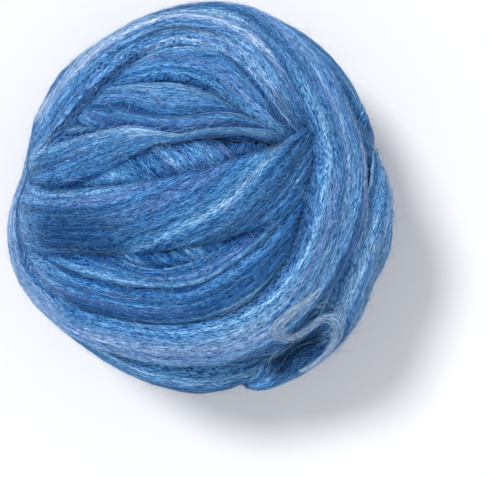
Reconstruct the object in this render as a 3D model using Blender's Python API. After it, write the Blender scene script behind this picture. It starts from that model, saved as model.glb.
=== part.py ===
"""A wound ball of combed wool roving, with its loose end laid round one side.

The ball is one solid. Its surface is the wound form: broad flat turns of roving laid one on
another, each standing on what lies under it. The loose end is a second solid, a flat band that
lies on the ball along its right side and ends in a cut tip. Metres, +Z up, origin on the floor
under the middle of the whole, +Y towards the far side of the view from above.
"""

import math
from collections import namedtuple

import bmesh
import bpy
import numpy as np

MM = 0.001

# The mean form under the turns: half its size along X, Y and Z, and the floor below its middle.
CORE_HALF = np.array((91 * MM, 91 * MM, 76 * MM))
FLOOR_DROP = 72 * MM
# Where the middle of the winding stands from the origin, which is under the middle of the box.
WINDING_OFF = np.array((-0.27 * MM, -0.03 * MM, FLOOR_DROP))

# Where the mean form is pressed in, or swells if the depth is under zero: the bearing and fall
# of its middle and its reach in degrees, and its depth in millimetres.
Dent = namedtuple("Dent", "bearing fall reach depth")
DENTS = (
    Dent(166, 88, 20, 6),
    Dent(6, 85, 20, 3.5),
    Dent(-80, 85, 15, -2.5),
)

# The roving as it lies in a turn: its thickness, which is at most a share of half its width,
# the least that it covers and that its crown stands over what is under it, and the power that
# shapes its crown. Across a turn, angles count at the winding's mean radius.
TURN_THICK = 9 * MM
THICK_SHARE = 0.8
TURN_COVER = 0.8 * MM
TURN_STAND = 1.0 * MM
CROWN_POWER = 2.6
WINDING_RADIUS = 90 * MM
# A turn's size on the far side, in millimetres as in its stops.
FAR_WIDTH = 34
FAR_LIFT = 0

# The hidden first turns, spread evenly over the ball, in millimetres as in a stop.
FIRST_TURNS = 9
FIRST_STOPS = 6
FIRST_WIDTH = 40
FIRST_LIFT = -6.0
FIRST_GROWTH = 0.3
GOLDEN_TURN = math.radians(137.5)
DEEPEST = -9 * MM

# The loose end: its gap to the ball, how far round each point it looks for what holds it up,
# how square its two ends are, and its facets.
TAIL_GAP = 0.6 * MM
TAIL_BRIDGE = 2.5 * MM
TAIL_END_POWER = 14
TAIL_SIDES = 18
TAIL_RINGS = 44

# The ball's facets and the block that cuts its flat spot.
BALL_SUBDIVISIONS = 7
BALL_FACET_SHARE = 0.125
FLOOR_BLOCK = 0.30

# The step along a turn's route as a share of the winding's radius, the shares of its half width
# at which a turn feels its bed, the steps over which it eases its height, and how far from a
# turn's route, in direction, a place still counts as on its side of the ball.
ROUTE_STEP = 0.045
BED_SHARES = (-0.6, 0, 0.6)
EASE_REACH = 5
NEAR_LIMIT = math.cos(math.radians(50))

# One place on a turn's route: its bearing from +X and its fall from the top in degrees, the
# roving's width there and how high its crown stands over the mean form, in millimetres.
Stop = namedtuple("Stop", "bearing fall width lift")
# A turn in the order of laying. A ring gives its whole way round. Any other turn gives the half
# of its way that shows from above, and comes back round the far side opposite to it.
Turn = namedtuple("Turn", "name ring stops")

TURNS = (
    Turn("under_left", False, (
        Stop(157, 74, 36, -3), Stop(160, 50, 36, -3), Stop(161, 23, 34, -2),
        Stop(-60, 30, 34, -3), Stop(-52, 66, 34, -5))),
    Turn("under_middle", False, (
        Stop(129, 66, 34, -4), Stop(129, 36, 34, -3), Stop(95, 9, 36, -1),
        Stop(-25, 19, 34, -2), Stop(-38, 44, 34, -5), Stop(-42, 72, 34, -5))),
    Turn("under_low", False, (
        Stop(175, 70, 32, -3), Stop(-172, 43, 32, -2), Stop(-137, 27, 30, -1),
        Stop(-94, 32, 30, -3), Stop(-75, 60, 34, -6))),
    Turn("girdle", True, (
        Stop(-90, 82, 38, 3), Stop(-60, 92, 36, -4), Stop(-30, 98, 36, -3), Stop(0, 97, 36, -1),
        Stop(30, 95, 36, 2), Stop(60, 93, 36, 4), Stop(90, 93, 36, 2), Stop(120, 94, 36, -1),
        Stop(150, 100, 36, -4), Stop(180, 104, 36, -2), Stop(-155, 96, 36, 3),
        Stop(-125, 89, 36, 1))),
    Turn("inner_lens", False, (
        Stop(150, 64, 24, -3), Stop(146, 50, 22, -3), Stop(128, 38, 20, -2),
        Stop(105, 31, 20, -1), Stop(83, 29, 16, -2), Stop(60, 33, 16, -4),
        Stop(35, 50, 20, -5))),
    Turn("middle_ridge", False, (
        Stop(143, 79, 16, -5), Stop(142, 52, 16, -4), Stop(138, 40, 17, -3),
        Stop(130, 31, 16, -2), Stop(116, 24, 14, -1), Stop(94, 21, 13, 0), Stop(72, 23, 12, 1),
        Stop(53, 26, 11, 1), Stop(37, 32, 10, 0), Stop(29, 39, 8, -1), Stop(24, 55, 10, -2))),
    Turn("left_fan", False, (
        Stop(172, 72, 34, -2), Stop(166, 45, 26, 0), Stop(153, 32, 21, 1), Stop(140, 25, 15, 1),
        Stop(127, 21, 9, 0), Stop(107, 17, 6, -1), Stop(81, 18, 4, -1), Stop(57, 22, 4, -2),
        Stop(39, 28, 4, -3), Stop(30, 34, 4, -3))),
    Turn("inner_lobe", False, (
        Stop(138, 55, 14, -5), Stop(132, 46, 14, -3), Stop(124, 40, 14, -1), Stop(114, 34, 18, 0),
        Stop(99, 30, 18, 0), Stop(83, 29, 11, -1), Stop(68, 30, 6, -3), Stop(46, 33, 8, -6))),
    Turn("inner_arch", False, (
        Stop(131, 58, 14, -5), Stop(122, 50, 13, -2), Stop(111, 47, 16, 0), Stop(102, 46, 18, 1),
        Stop(92, 44, 20, 2), Stop(79, 42, 24, 2), Stop(66, 38, 24, 2), Stop(52, 36, 20, 1),
        Stop(37, 37, 14, 0), Stop(28, 43, 12, -2))),
    Turn("outer_arch", False, (
        Stop(172, 98, 22, -8), Stop(161, 77, 32, -5), Stop(151, 67, 42, -1), Stop(138, 63, 46, 1),
        Stop(118, 64, 44, 2), Stop(97, 65, 40, 3), Stop(75, 58, 36, 3), Stop(54, 48, 32, 2),
        Stop(38, 43, 24, 1), Stop(28, 52, 24, 0))),
    Turn("lower_inner", False, (
        Stop(-174, 84, 42, 0), Stop(-165, 70, 36, 1), Stop(-151, 53, 30, 1),
        Stop(-138, 41, 26, 1), Stop(-116, 33, 22, 0), Stop(-87, 28, 22, 1),
        Stop(-49, 25, 22, 1), Stop(-13, 30, 20, 0), Stop(5, 42, 24, 0))),
    Turn("lower_outer", False, (
        Stop(-160, 84, 30, 1), Stop(-145, 60, 28, 1), Stop(-130, 48, 26, 1),
        Stop(-111, 41, 26, 1), Stop(-85, 36, 26, 1), Stop(-56, 33, 27, 1), Stop(-23, 34, 22, 0),
        Stop(0, 42, 22, 0))),
    Turn("broad_cross", False, (
        Stop(-176, 84, 30, 0), Stop(-172, 62, 31, 2), Stop(-165, 34, 32, 2),
        Stop(-150, 13, 34, 3), Stop(-20, 8, 36, 3), Stop(5, 20, 35, 2), Stop(18, 36, 26, 1),
        Stop(24, 56, 26, -1))),
    Turn("last_turn", True, (
        Stop(78, 84, 36, 5), Stop(62, 71, 38, 4), Stop(39, 58, 39, 4), Stop(17, 53, 40, 4),
        Stop(-5, 48, 44, 5), Stop(-27, 46, 38, 5), Stop(-60, 50, 38, 4), Stop(-91, 52, 34, 4),
        Stop(-117, 58, 32, 3), Stop(-136, 69, 30, 4), Stop(-158, 79, 30, 6), Stop(180, 82, 30, 2),
        Stop(162, 86, 28, -5), Stop(140, 95, 28, -4), Stop(110, 92, 30, 1))),
)

# The loose end's route, from where it comes up beside the last turn to its cut tip. It lies on
# the ball, so its last column is its own thickness.
TAIL_STOPS = (
    Stop(14, 79, 20, 4), Stop(7, 76, 32, 5), Stop(-5, 72, 36, 6), Stop(-20, 70, 38, 8),
    Stop(-36, 73, 36, 9), Stop(-50, 79, 33, 10), Stop(-63, 85, 29, 11), Stop(-76, 88, 24, 7),
)

WOOL_BLUE = (0.075, 0.205, 0.520, 1.0)
TAIL_BLUE = (0.095, 0.260, 0.545, 1.0)
WOOL_ROUGHNESS = 0.9
WOOL_SHEEN = 0.3


def unit(vectors):
    """The same vectors at length one."""
    return vectors / np.linalg.norm(vectors, axis=-1, keepdims=True)


def direction(bearing, fall):
    """Unit vector at a bearing from +X and a fall from the top, in degrees."""
    turn = math.radians(bearing)
    drop = math.radians(fall)
    return np.array((
        math.sin(drop) * math.cos(turn), math.sin(drop) * math.sin(turn), math.cos(drop)))


def course(knots, closed):
    """Points on a smooth curve through the knots, whose pace follows the gaps between them."""
    count = len(knots)
    spans = np.linalg.norm(np.roll(knots, -1, 0)[:, :3] - knots[:, :3], axis=1)
    slopes = (np.roll(knots, -1, 0) - knots) / spans[:, None]
    before = np.roll(spans, 1)
    tangents = np.roll(slopes, 1, 0) * spans[:, None] + slopes * before[:, None]
    tangents /= (spans + before)[:, None]
    if not closed:
        tangents[0] = slopes[0]
        tangents[-1] = slopes[-2]
    points = []
    for i in range(count if closed else count - 1):
        start, end = knots[i], knots[(i + 1) % count]
        leave, arrive = tangents[i] * spans[i], tangents[(i + 1) % count] * spans[i]
        steps = max(2, round(spans[i] / ROUTE_STEP))
        for t in np.arange(steps) / steps:
            points.append(
                (2 * t**3 - 3 * t**2 + 1) * start + (t**3 - 2 * t**2 + t) * leave
                + (3 * t**2 - 2 * t**3) * end + (t**3 - t**2) * arrive)
    if not closed:
        points.append(knots[-1])
    return np.array(points)


class Route:
    """A turn's way over the ball: where it runs, which way is along, and its size there."""

    def __init__(self, knots, closed=True):
        points = course(np.array(knots), closed)
        self.path = unit(points[:, :3])
        self.half = np.maximum(points[:, 3], MM)
        self.lift = points[:, 4]
        ahead = np.roll(self.path, -1, 0) - np.roll(self.path, 1, 0)
        if not closed:
            ahead[0] = self.path[1] - self.path[0]
            ahead[-1] = self.path[-1] - self.path[-2]
        ahead -= self.path * (ahead * self.path).sum(1, keepdims=True)
        self.along = unit(ahead)
        self.side = np.cross(self.path, self.along)

    def off_centre(self, share):
        """Directions beside the route, at a share of its half width."""
        angle = (share * self.half / WINDING_RADIUS)[:, None]
        return unit(self.path * np.cos(angle) + self.side * np.sin(angle))


def knot(stop):
    """A stop as one row: its direction, half its width and its lift, in metres."""
    return np.append(direction(stop.bearing, stop.fall), (stop.width * MM / 2, stop.lift * MM))


def turn_route(turn):
    """The whole way of one turn round the ball."""
    knots = [knot(stop) for stop in turn.stops]
    if not turn.ring:
        for near in list(knots):
            far = -near
            far[3:] = (FAR_WIDTH * MM / 2, FAR_LIFT * MM)
            knots.append(far)
    return Route(knots)


def first_routes():
    """The hidden first turns: great circles whose axes are spread over the ball."""
    routes = []
    for i in range(FIRST_TURNS):
        height = 1 - (2 * i + 1) / FIRST_TURNS
        reach = math.sqrt(1 - height**2)
        axis = np.array((
            reach * math.cos(i * GOLDEN_TURN), reach * math.sin(i * GOLDEN_TURN), height))
        level = unit(np.cross(axis, (0.3, 0.5, 0.8)))
        rising = np.cross(axis, level)
        size = (FIRST_WIDTH * MM / 2, (FIRST_LIFT + FIRST_GROWTH * i) * MM)
        angles = np.arange(FIRST_STOPS) * 2 * math.pi / FIRST_STOPS
        routes.append(Route([
            np.append(level * math.cos(a) + rising * math.sin(a), size) for a in angles]))
    return routes


def laid_over(heights, directions, route):
    """Heights over the mean form once one more turn is laid."""
    nearest = np.argmax(directions @ route.path.T, axis=1)
    forward = (directions * route.along[nearest]).sum(1)
    count = len(route.path)
    beside = np.where(forward >= 0, (nearest + 1) % count, (nearest - 1) % count)
    gap = np.linalg.norm(route.path[beside] - route.path[nearest], axis=1)
    mix = np.clip(np.abs(forward) / gap, 0, 1)
    half = route.half[nearest] * (1 - mix) + route.half[beside] * mix
    lift = route.lift[nearest] * (1 - mix) + route.lift[beside] * mix
    side = route.side[nearest] * (1 - mix[:, None]) + route.side[beside] * mix[:, None]
    across = np.arcsin(np.clip((directions * side).sum(1), -1, 1)) * WINDING_RADIUS / half
    near = (directions * route.path[nearest]).sum(1) > NEAR_LIMIT
    inside = near & (np.abs(across) < 1)
    crown = np.sqrt(1 - np.clip(np.abs(across), 0, 1) ** CROWN_POWER)
    thick = np.minimum(TURN_THICK, half * THICK_SHARE)
    raised = np.maximum(lift - thick * (1 - crown), heights + TURN_COVER * crown)
    return np.where(inside, raised, heights)


def surface(directions, routes):
    """Heights over the mean form with all these turns laid, in each direction."""
    heights = np.full(len(directions), DEEPEST)
    for route in routes:
        heights = laid_over(heights, directions, route)
    return heights


def eased(values):
    """Values round a closed route, each the weighted mean of its neighbours."""
    weights = np.hanning(2 * EASE_REACH + 3)[1:-1]
    padded = np.concatenate((values[-EASE_REACH:], values, values[:EASE_REACH]))
    return np.convolve(padded, weights / weights.sum(), "valid")


def settled(routes):
    """Lift each turn so that it stands on the turns under it."""
    for i, route in enumerate(routes):
        beds = [surface(route.off_centre(share), routes[:i]) for share in BED_SHARES]
        route.lift = np.maximum(route.lift, eased(np.mean(beds, axis=0)) + TURN_STAND)
    return routes


def bridged(directions, routes):
    """Heights of what a stiff band rests on: the highest of the ball's points close by."""
    reach = TAIL_BRIDGE / WINDING_RADIUS
    steps = np.concatenate((np.zeros((1, 3)), np.eye(3), -np.eye(3)))
    return np.max([surface(unit(directions + reach * step), routes) for step in steps], axis=0)


def placed(directions, heights):
    """Points at these heights over the mean form, standing on the floor."""
    sunk = np.zeros(len(directions))
    for dent in DENTS:
        away = np.degrees(np.arccos(np.clip(directions @ direction(dent.bearing, dent.fall), -1, 1)))
        sunk += dent.depth * MM * np.exp(-(away / dent.reach) ** 2)
    return directions * (CORE_HALF + (heights - sunk)[:, None]) + WINDING_OFF


def new_object(name, mesh_maker, collection, material):
    """An object whose mesh is made by a function that fills a bmesh."""
    mesh = bpy.data.meshes.new(name)
    form = bmesh.new()
    mesh_maker(form)
    form.to_mesh(mesh)
    form.free()
    if material:
        mesh.materials.append(material)
    mesh.shade_smooth()
    made = bpy.data.objects.new(name, mesh)
    collection.objects.link(made)
    return made


def wool(name, colour):
    """Matt wool of one colour."""
    material = bpy.data.materials.new(name)
    material.use_nodes = True
    shader = material.node_tree.nodes["Principled BSDF"]
    shader.inputs["Base Color"].default_value = colour
    shader.inputs["Roughness"].default_value = WOOL_ROUGHNESS
    shader.inputs["Metallic"].default_value = 0.0
    shader.inputs["Sheen Weight"].default_value = WOOL_SHEEN
    return material


def make_ball(routes, parts, cutters):
    """The wound ball, with its flat spot cut on the floor."""
    def wound(form):
        bmesh.ops.create_icosphere(form, subdivisions=BALL_SUBDIVISIONS, radius=1)
        directions = unit(np.array([vert.co for vert in form.verts]))
        points = placed(directions, surface(directions, routes))
        for vert, point in zip(form.verts, points):
            vert.co = point

    def floor_block(form):
        bmesh.ops.create_cube(form, size=FLOOR_BLOCK)

    ball = new_object("ball", wound, parts, wool("ball_wool", WOOL_BLUE))
    block = new_object("floor_block", floor_block, cutters, None)
    block.location = (0, 0, -FLOOR_BLOCK / 2)
    block.hide_render = True
    block.display_type = "WIRE"

    softened = ball.modifiers.new("softened", "SMOOTH")
    softened.factor = 0.5
    softened.iterations = 2
    facets = ball.modifiers.new("facets", "DECIMATE")
    facets.ratio = BALL_FACET_SHARE
    flat_spot = ball.modifiers.new("flat_spot", "BOOLEAN")
    flat_spot.operation = "DIFFERENCE"
    flat_spot.object = block
    return ball


def make_tail(routes, parts):
    """The loose end: a flat band with a domed top, laid on the ball."""
    route = Route([knot(stop) for stop in TAIL_STOPS], closed=False)

    def band(form):
        bmesh.ops.create_uvsphere(form, u_segments=TAIL_SIDES, v_segments=TAIL_RINGS, radius=1)
        points = np.array([vert.co for vert in form.verts])
        along = 1 - np.arccos(np.clip(points[:, 2], -1, 1)) / math.pi
        ring = np.linalg.norm(points[:, :2], axis=1)
        across = np.divide(points[:, 0], ring, out=np.zeros(len(ring)), where=ring > 1e-6)
        across = np.clip(across, -1, 1)
        place = along * (len(route.path) - 1)
        low = np.minimum(place.astype(int), len(route.path) - 2)
        mix = (place - low)[:, None]
        middle = unit(route.path[low] * (1 - mix) + route.path[low + 1] * mix)
        side = unit(route.side[low] * (1 - mix) + route.side[low + 1] * mix)
        half = route.half[low] * (1 - mix[:, 0]) + route.half[low + 1] * mix[:, 0]
        blunt = np.sqrt(1 - np.abs(2 * along - 1) ** TAIL_END_POWER)
        angle = (across * half * blunt / WINDING_RADIUS)[:, None]
        directions = unit(middle * np.cos(angle) + side * np.sin(angle))
        crown = np.sqrt(1 - np.abs(across) ** CROWN_POWER) * blunt
        thick = route.lift[low] * (1 - mix[:, 0]) + route.lift[low + 1] * mix[:, 0]
        rise = np.where(points[:, 1] > 0, thick * crown, 0)
        points = placed(directions, bridged(directions, routes) + TAIL_GAP + rise)
        for vert, point in zip(form.verts, points):
            vert.co = point

    return new_object("tail", band, parts, wool("tail_wool", TAIL_BLUE))


def main():
    """Clear the scene and make the roving."""
    for old in list(bpy.data.objects):
        bpy.data.objects.remove(old)
    parts = bpy.data.collections.new("wool_roving")
    cutters = bpy.data.collections.new("cutters")
    bpy.context.scene.collection.children.link(parts)
    bpy.context.scene.collection.children.link(cutters)
    routes = settled(first_routes() + [turn_route(turn) for turn in TURNS])
    make_ball(routes, parts, cutters)
    make_tail(routes, parts)


main()
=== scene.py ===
"""The finish of a wound ball of combed wool roving, laid out as an add-on and run as a script.

Every turn of the winding is a closed band that follows its own route over the ball, ridged along
its length and dyed in streaks of blue. Fine fibres lie along every turn, stray hairs cross them,
and the loose end lies down the right side with a frayed start and a cut tip. The turns' routes
and the way they lie on one another are those of the solid ball. Metres, +Z up.
"""

import math
from collections import namedtuple

import bpy
import numpy as np
from bpy.props import FloatProperty, FloatVectorProperty, IntProperty, PointerProperty
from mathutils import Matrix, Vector


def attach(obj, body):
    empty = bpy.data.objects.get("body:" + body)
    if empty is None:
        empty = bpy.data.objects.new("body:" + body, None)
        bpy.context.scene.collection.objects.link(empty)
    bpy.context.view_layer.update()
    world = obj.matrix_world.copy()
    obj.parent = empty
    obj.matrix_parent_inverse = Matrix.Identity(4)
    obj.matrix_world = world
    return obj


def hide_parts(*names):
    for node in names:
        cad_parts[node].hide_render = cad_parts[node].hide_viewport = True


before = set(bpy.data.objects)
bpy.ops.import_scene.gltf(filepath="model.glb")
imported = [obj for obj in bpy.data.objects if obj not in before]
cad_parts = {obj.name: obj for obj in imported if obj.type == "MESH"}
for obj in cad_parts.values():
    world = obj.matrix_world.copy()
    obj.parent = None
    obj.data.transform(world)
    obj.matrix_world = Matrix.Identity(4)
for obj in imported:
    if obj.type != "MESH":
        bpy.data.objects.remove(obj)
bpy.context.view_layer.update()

bl_info = {
    "name": "Wound Wool Roving",
    "version": (1, 0, 0),
    "blender": (4, 5, 0),
    "location": "View3D > Sidebar > Roving",
    "description": "Lays the turns, the loose end and the fine fibres of a ball of wool roving",
    "category": "Object",
}

BODY = "root"
MM = 0.001

# ---- The winding, as in the solid ball ----

# The mean form under the turns: half its size along X, Y and Z, and the floor below its middle.
CORE_HALF = np.array((91 * MM, 91 * MM, 76 * MM))
FLOOR_DROP = 72 * MM
WINDING_OFF = np.array((-0.27 * MM, -0.03 * MM, FLOOR_DROP))

# Where the mean form is pressed in, or swells if the depth is under zero: the bearing and fall
# of its middle and its reach in degrees, and its depth in millimetres.
Dent = namedtuple("Dent", "bearing fall reach depth")
DENTS = (
    Dent(166, 88, 20, 6),
    Dent(6, 85, 20, 3.5),
    Dent(-80, 85, 15, -2.5),
)

# The roving as it lies in a turn: its thickness, which is at most a share of half its width,
# the least that it covers and that its crown stands over what is under it, and the power that
# shapes its crown. Across a turn, angles count at the winding's mean radius.
TURN_THICK = 9 * MM
THICK_SHARE = 0.8
TURN_COVER = 0.8 * MM
TURN_STAND = 1.0 * MM
CROWN_POWER = 2.6
WINDING_RADIUS = 90 * MM
FAR_WIDTH = 34
FAR_LIFT = 0

FIRST_TURNS = 9
FIRST_STOPS = 6
FIRST_WIDTH = 40
FIRST_LIFT = -6.0
FIRST_GROWTH = 0.3
GOLDEN_TURN = math.radians(137.5)
DEEPEST = -9 * MM

TAIL_GAP = 0.6 * MM
TAIL_BRIDGE = 2.5 * MM
TAIL_END_POWER = 14

ROUTE_STEP = 0.045
EASE_REACH = 5
EASE_SHARES = (-0.6, 0, 0.6)
NEAR_LIMIT = math.cos(math.radians(50))

# One place on a turn's route: its bearing from +X and its fall from the top in degrees, the
# roving's width there and how high its crown stands over the mean form, in millimetres.
Stop = namedtuple("Stop", "bearing fall width lift")
# A turn in the order of laying. A ring gives its whole way round. Any other turn gives the half
# of its way that shows from above, and comes back round the far side opposite to it.
Turn = namedtuple("Turn", "name ring stops")

TURNS = (
    Turn("under_left", False, (
        Stop(157, 74, 36, -3), Stop(160, 50, 36, -3), Stop(161, 23, 34, -2),
        Stop(-60, 30, 34, -3), Stop(-52, 66, 34, -5))),
    Turn("under_middle", False, (
        Stop(129, 66, 34, -4), Stop(129, 36, 34, -3), Stop(95, 9, 36, -1),
        Stop(-25, 19, 34, -2), Stop(-38, 44, 34, -5), Stop(-42, 72, 34, -5))),
    Turn("under_low", False, (
        Stop(175, 70, 32, -3), Stop(-172, 43, 32, -2), Stop(-137, 27, 30, -1),
        Stop(-94, 32, 30, -3), Stop(-75, 60, 34, -6))),
    Turn("girdle", True, (
        Stop(-90, 82, 38, 3), Stop(-60, 92, 36, -4), Stop(-30, 98, 36, -3), Stop(0, 97, 36, -1),
        Stop(30, 95, 36, 2), Stop(60, 93, 36, 4), Stop(90, 93, 36, 2), Stop(120, 94, 36, -1),
        Stop(150, 100, 36, -4), Stop(180, 104, 36, -2), Stop(-155, 96, 36, 3),
        Stop(-125, 89, 36, 1))),
    Turn("inner_lens", False, (
        Stop(150, 64, 24, -3), Stop(146, 50, 22, -3), Stop(128, 38, 20, -2),
        Stop(105, 31, 20, -1), Stop(83, 29, 16, -2), Stop(60, 33, 16, -4),
        Stop(35, 50, 20, -5))),
    Turn("middle_ridge", False, (
        Stop(143, 79, 16, -5), Stop(142, 52, 16, -4), Stop(138, 40, 17, -3),
        Stop(130, 31, 16, -2), Stop(116, 24, 14, -1), Stop(94, 21, 13, 0), Stop(72, 23, 12, 1),
        Stop(53, 26, 11, 1), Stop(37, 32, 10, 0), Stop(29, 39, 8, -1), Stop(24, 55, 10, -2))),
    Turn("left_fan", False, (
        Stop(172, 72, 34, -2), Stop(166, 45, 26, 0), Stop(153, 32, 21, 1), Stop(140, 25, 15, 1),
        Stop(127, 21, 9, 0), Stop(107, 17, 6, -1), Stop(81, 18, 4, -1), Stop(57, 22, 4, -2),
        Stop(39, 28, 4, -3), Stop(30, 34, 4, -3))),
    Turn("inner_lobe", False, (
        Stop(138, 55, 14, -5), Stop(132, 46, 14, -3), Stop(124, 40, 14, -1), Stop(114, 34, 18, 0),
        Stop(99, 30, 18, 0), Stop(83, 29, 11, -1), Stop(68, 30, 6, -3), Stop(46, 33, 8, -6))),
    Turn("inner_arch", False, (
        Stop(131, 58, 14, -5), Stop(122, 50, 13, -2), Stop(111, 47, 16, 0), Stop(102, 46, 18, 1),
        Stop(92, 44, 20, 2), Stop(79, 42, 24, 2), Stop(66, 38, 24, 2), Stop(52, 36, 20, 1),
        Stop(37, 37, 14, 0), Stop(28, 43, 12, -2))),
    Turn("outer_arch", False, (
        Stop(172, 98, 22, -8), Stop(161, 77, 32, -5), Stop(151, 67, 42, -1), Stop(138, 63, 46, 1),
        Stop(118, 64, 44, 2), Stop(97, 65, 40, 3), Stop(75, 58, 36, 3), Stop(54, 48, 32, 2),
        Stop(38, 43, 24, 1), Stop(28, 52, 24, 0))),
    Turn("lower_inner", False, (
        Stop(-174, 84, 42, 0), Stop(-165, 70, 36, 1), Stop(-151, 53, 30, 1),
        Stop(-138, 41, 26, 1), Stop(-116, 33, 22, 0), Stop(-87, 28, 22, 1),
        Stop(-49, 25, 22, 1), Stop(-13, 30, 20, 0), Stop(5, 42, 24, 0))),
    Turn("lower_outer", False, (
        Stop(-160, 84, 30, 1), Stop(-145, 60, 28, 1), Stop(-130, 48, 26, 1),
        Stop(-111, 41, 26, 1), Stop(-85, 36, 26, 1), Stop(-56, 33, 27, 1), Stop(-23, 34, 22, 0),
        Stop(0, 42, 22, 0))),
    Turn("broad_cross", False, (
        Stop(-176, 84, 30, 0), Stop(-172, 62, 31, 2), Stop(-165, 34, 32, 2),
        Stop(-150, 13, 34, 3), Stop(-20, 8, 36, 3), Stop(5, 20, 35, 2), Stop(18, 36, 26, 1),
        Stop(24, 56, 26, -1))),
    Turn("last_turn", True, (
        Stop(78, 84, 36, 5), Stop(62, 71, 38, 4), Stop(39, 58, 39, 4), Stop(17, 53, 40, 4),
        Stop(-5, 48, 44, 5), Stop(-27, 46, 38, 5), Stop(-60, 50, 38, 4), Stop(-91, 52, 34, 4),
        Stop(-117, 58, 32, 3), Stop(-136, 69, 30, 4), Stop(-158, 79, 30, 6), Stop(180, 82, 30, 2),
        Stop(162, 86, 28, -5), Stop(140, 95, 28, -4), Stop(110, 92, 30, 1))),
)

# The loose end's route, from where it comes up beside the last turn to its cut tip. It lies on
# the ball, so its last column is its own thickness.
TAIL_STOPS = (
    Stop(14, 79, 20, 4), Stop(7, 76, 32, 5), Stop(-5, 72, 36, 6), Stop(-20, 70, 38, 8),
    Stop(-36, 73, 36, 9), Stop(-50, 79, 33, 10), Stop(-63, 85, 29, 11), Stop(-76, 88, 24, 7),
)


def unit(vectors):
    """The same vectors at length one."""
    return vectors / np.linalg.norm(vectors, axis=-1, keepdims=True)


def direction(bearing, fall):
    """Unit vector at a bearing from +X and a fall from the top, in degrees."""
    turn = math.radians(bearing)
    drop = math.radians(fall)
    return np.array((
        math.sin(drop) * math.cos(turn), math.sin(drop) * math.sin(turn), math.cos(drop)))


def course(knots, closed):
    """Points on a smooth curve through the knots, and the number of the point at each knot."""
    count = len(knots)
    spans = np.linalg.norm(np.roll(knots, -1, 0)[:, :3] - knots[:, :3], axis=1)
    slopes = (np.roll(knots, -1, 0) - knots) / spans[:, None]
    before = np.roll(spans, 1)
    tangents = np.roll(slopes, 1, 0) * spans[:, None] + slopes * before[:, None]
    tangents /= (spans + before)[:, None]
    if not closed:
        tangents[0] = slopes[0]
        tangents[-1] = slopes[-2]
    points = []
    marks = []
    for i in range(count if closed else count - 1):
        start, end = knots[i], knots[(i + 1) % count]
        leave, arrive = tangents[i] * spans[i], tangents[(i + 1) % count] * spans[i]
        steps = max(2, round(spans[i] / ROUTE_STEP))
        marks.append(len(points))
        for t in np.arange(steps) / steps:
            points.append(
                (2 * t**3 - 3 * t**2 + 1) * start + (t**3 - 2 * t**2 + t) * leave
                + (3 * t**2 - 2 * t**3) * end + (t**3 - t**2) * arrive)
    marks.append(len(points))
    if not closed:
        points.append(knots[-1])
    return np.array(points), np.array(marks)


class Route:
    """A turn's way over the ball: where it runs, which way is along, and its size there."""

    def __init__(self, name, knots, closed=True):
        points, self.marks = course(np.array(knots), closed)
        self.name = name
        self.closed = closed
        self.path = unit(points[:, :3])
        self.half = np.maximum(points[:, 3], MM)
        self.lift = points[:, 4]
        ahead = np.roll(self.path, -1, 0) - np.roll(self.path, 1, 0)
        if not closed:
            ahead[0] = self.path[1] - self.path[0]
            ahead[-1] = self.path[-1] - self.path[-2]
        ahead -= self.path * (ahead * self.path).sum(1, keepdims=True)
        self.along = unit(ahead)
        self.side = np.cross(self.path, self.along)

    def off_centre(self, share):
        """Directions beside the route, at a share of its half width."""
        angle = (share * self.half / WINDING_RADIUS)[:, None]
        return unit(self.path * np.cos(angle) + self.side * np.sin(angle))


def knot(stop):
    """A stop as one row: its direction, half its width and its lift, in metres."""
    return np.append(direction(stop.bearing, stop.fall), (stop.width * MM / 2, stop.lift * MM))


def turn_route(turn):
    """The whole way of one turn round the ball."""
    knots = [knot(stop) for stop in turn.stops]
    if not turn.ring:
        for near in list(knots):
            far = -near
            far[3:] = (FAR_WIDTH * MM / 2, FAR_LIFT * MM)
            knots.append(far)
    return Route(turn.name, knots)


def first_routes():
    """The hidden first turns: great circles whose axes are spread over the ball."""
    routes = []
    for i in range(FIRST_TURNS):
        height = 1 - (2 * i + 1) / FIRST_TURNS
        reach = math.sqrt(1 - height**2)
        axis = np.array((
            reach * math.cos(i * GOLDEN_TURN), reach * math.sin(i * GOLDEN_TURN), height))
        level = unit(np.cross(axis, (0.3, 0.5, 0.8)))
        rising = np.cross(axis, level)
        size = (FIRST_WIDTH * MM / 2, (FIRST_LIFT + FIRST_GROWTH * i) * MM)
        angles = np.arange(FIRST_STOPS) * 2 * math.pi / FIRST_STOPS
        routes.append(Route(f"first_{i}", [
            np.append(level * math.cos(a) + rising * math.sin(a), size) for a in angles]))
    return routes


def beside(directions, route):
    """How each direction lies beside a turn: across it in half widths, its half width, lift."""
    nearest = np.argmax(directions @ route.path.T, axis=1)
    forward = (directions * route.along[nearest]).sum(1)
    count = len(route.path)
    ahead = np.where(forward >= 0, (nearest + 1) % count, (nearest - 1) % count)
    gap = np.linalg.norm(route.path[ahead] - route.path[nearest], axis=1)
    mix = np.clip(np.abs(forward) / gap, 0, 1)
    half = route.half[nearest] * (1 - mix) + route.half[ahead] * mix
    lift = route.lift[nearest] * (1 - mix) + route.lift[ahead] * mix
    side = route.side[nearest] * (1 - mix[:, None]) + route.side[ahead] * mix[:, None]
    across = np.arcsin(np.clip((directions * side).sum(1), -1, 1)) * WINDING_RADIUS / half
    near = (directions * route.path[nearest]).sum(1) > NEAR_LIMIT
    return np.where(near, across, 9), half, lift


def crowned(across):
    """The rounded height of a turn across its width, from 1 on its middle to 0 at its edge."""
    return np.sqrt(1 - np.clip(np.abs(across), 0, 1) ** CROWN_POWER)


def domed(across, half, lift):
    """A turn's own height over the mean form."""
    thick = np.minimum(TURN_THICK, half * THICK_SHARE)
    return lift - thick * (1 - crowned(across))


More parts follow.
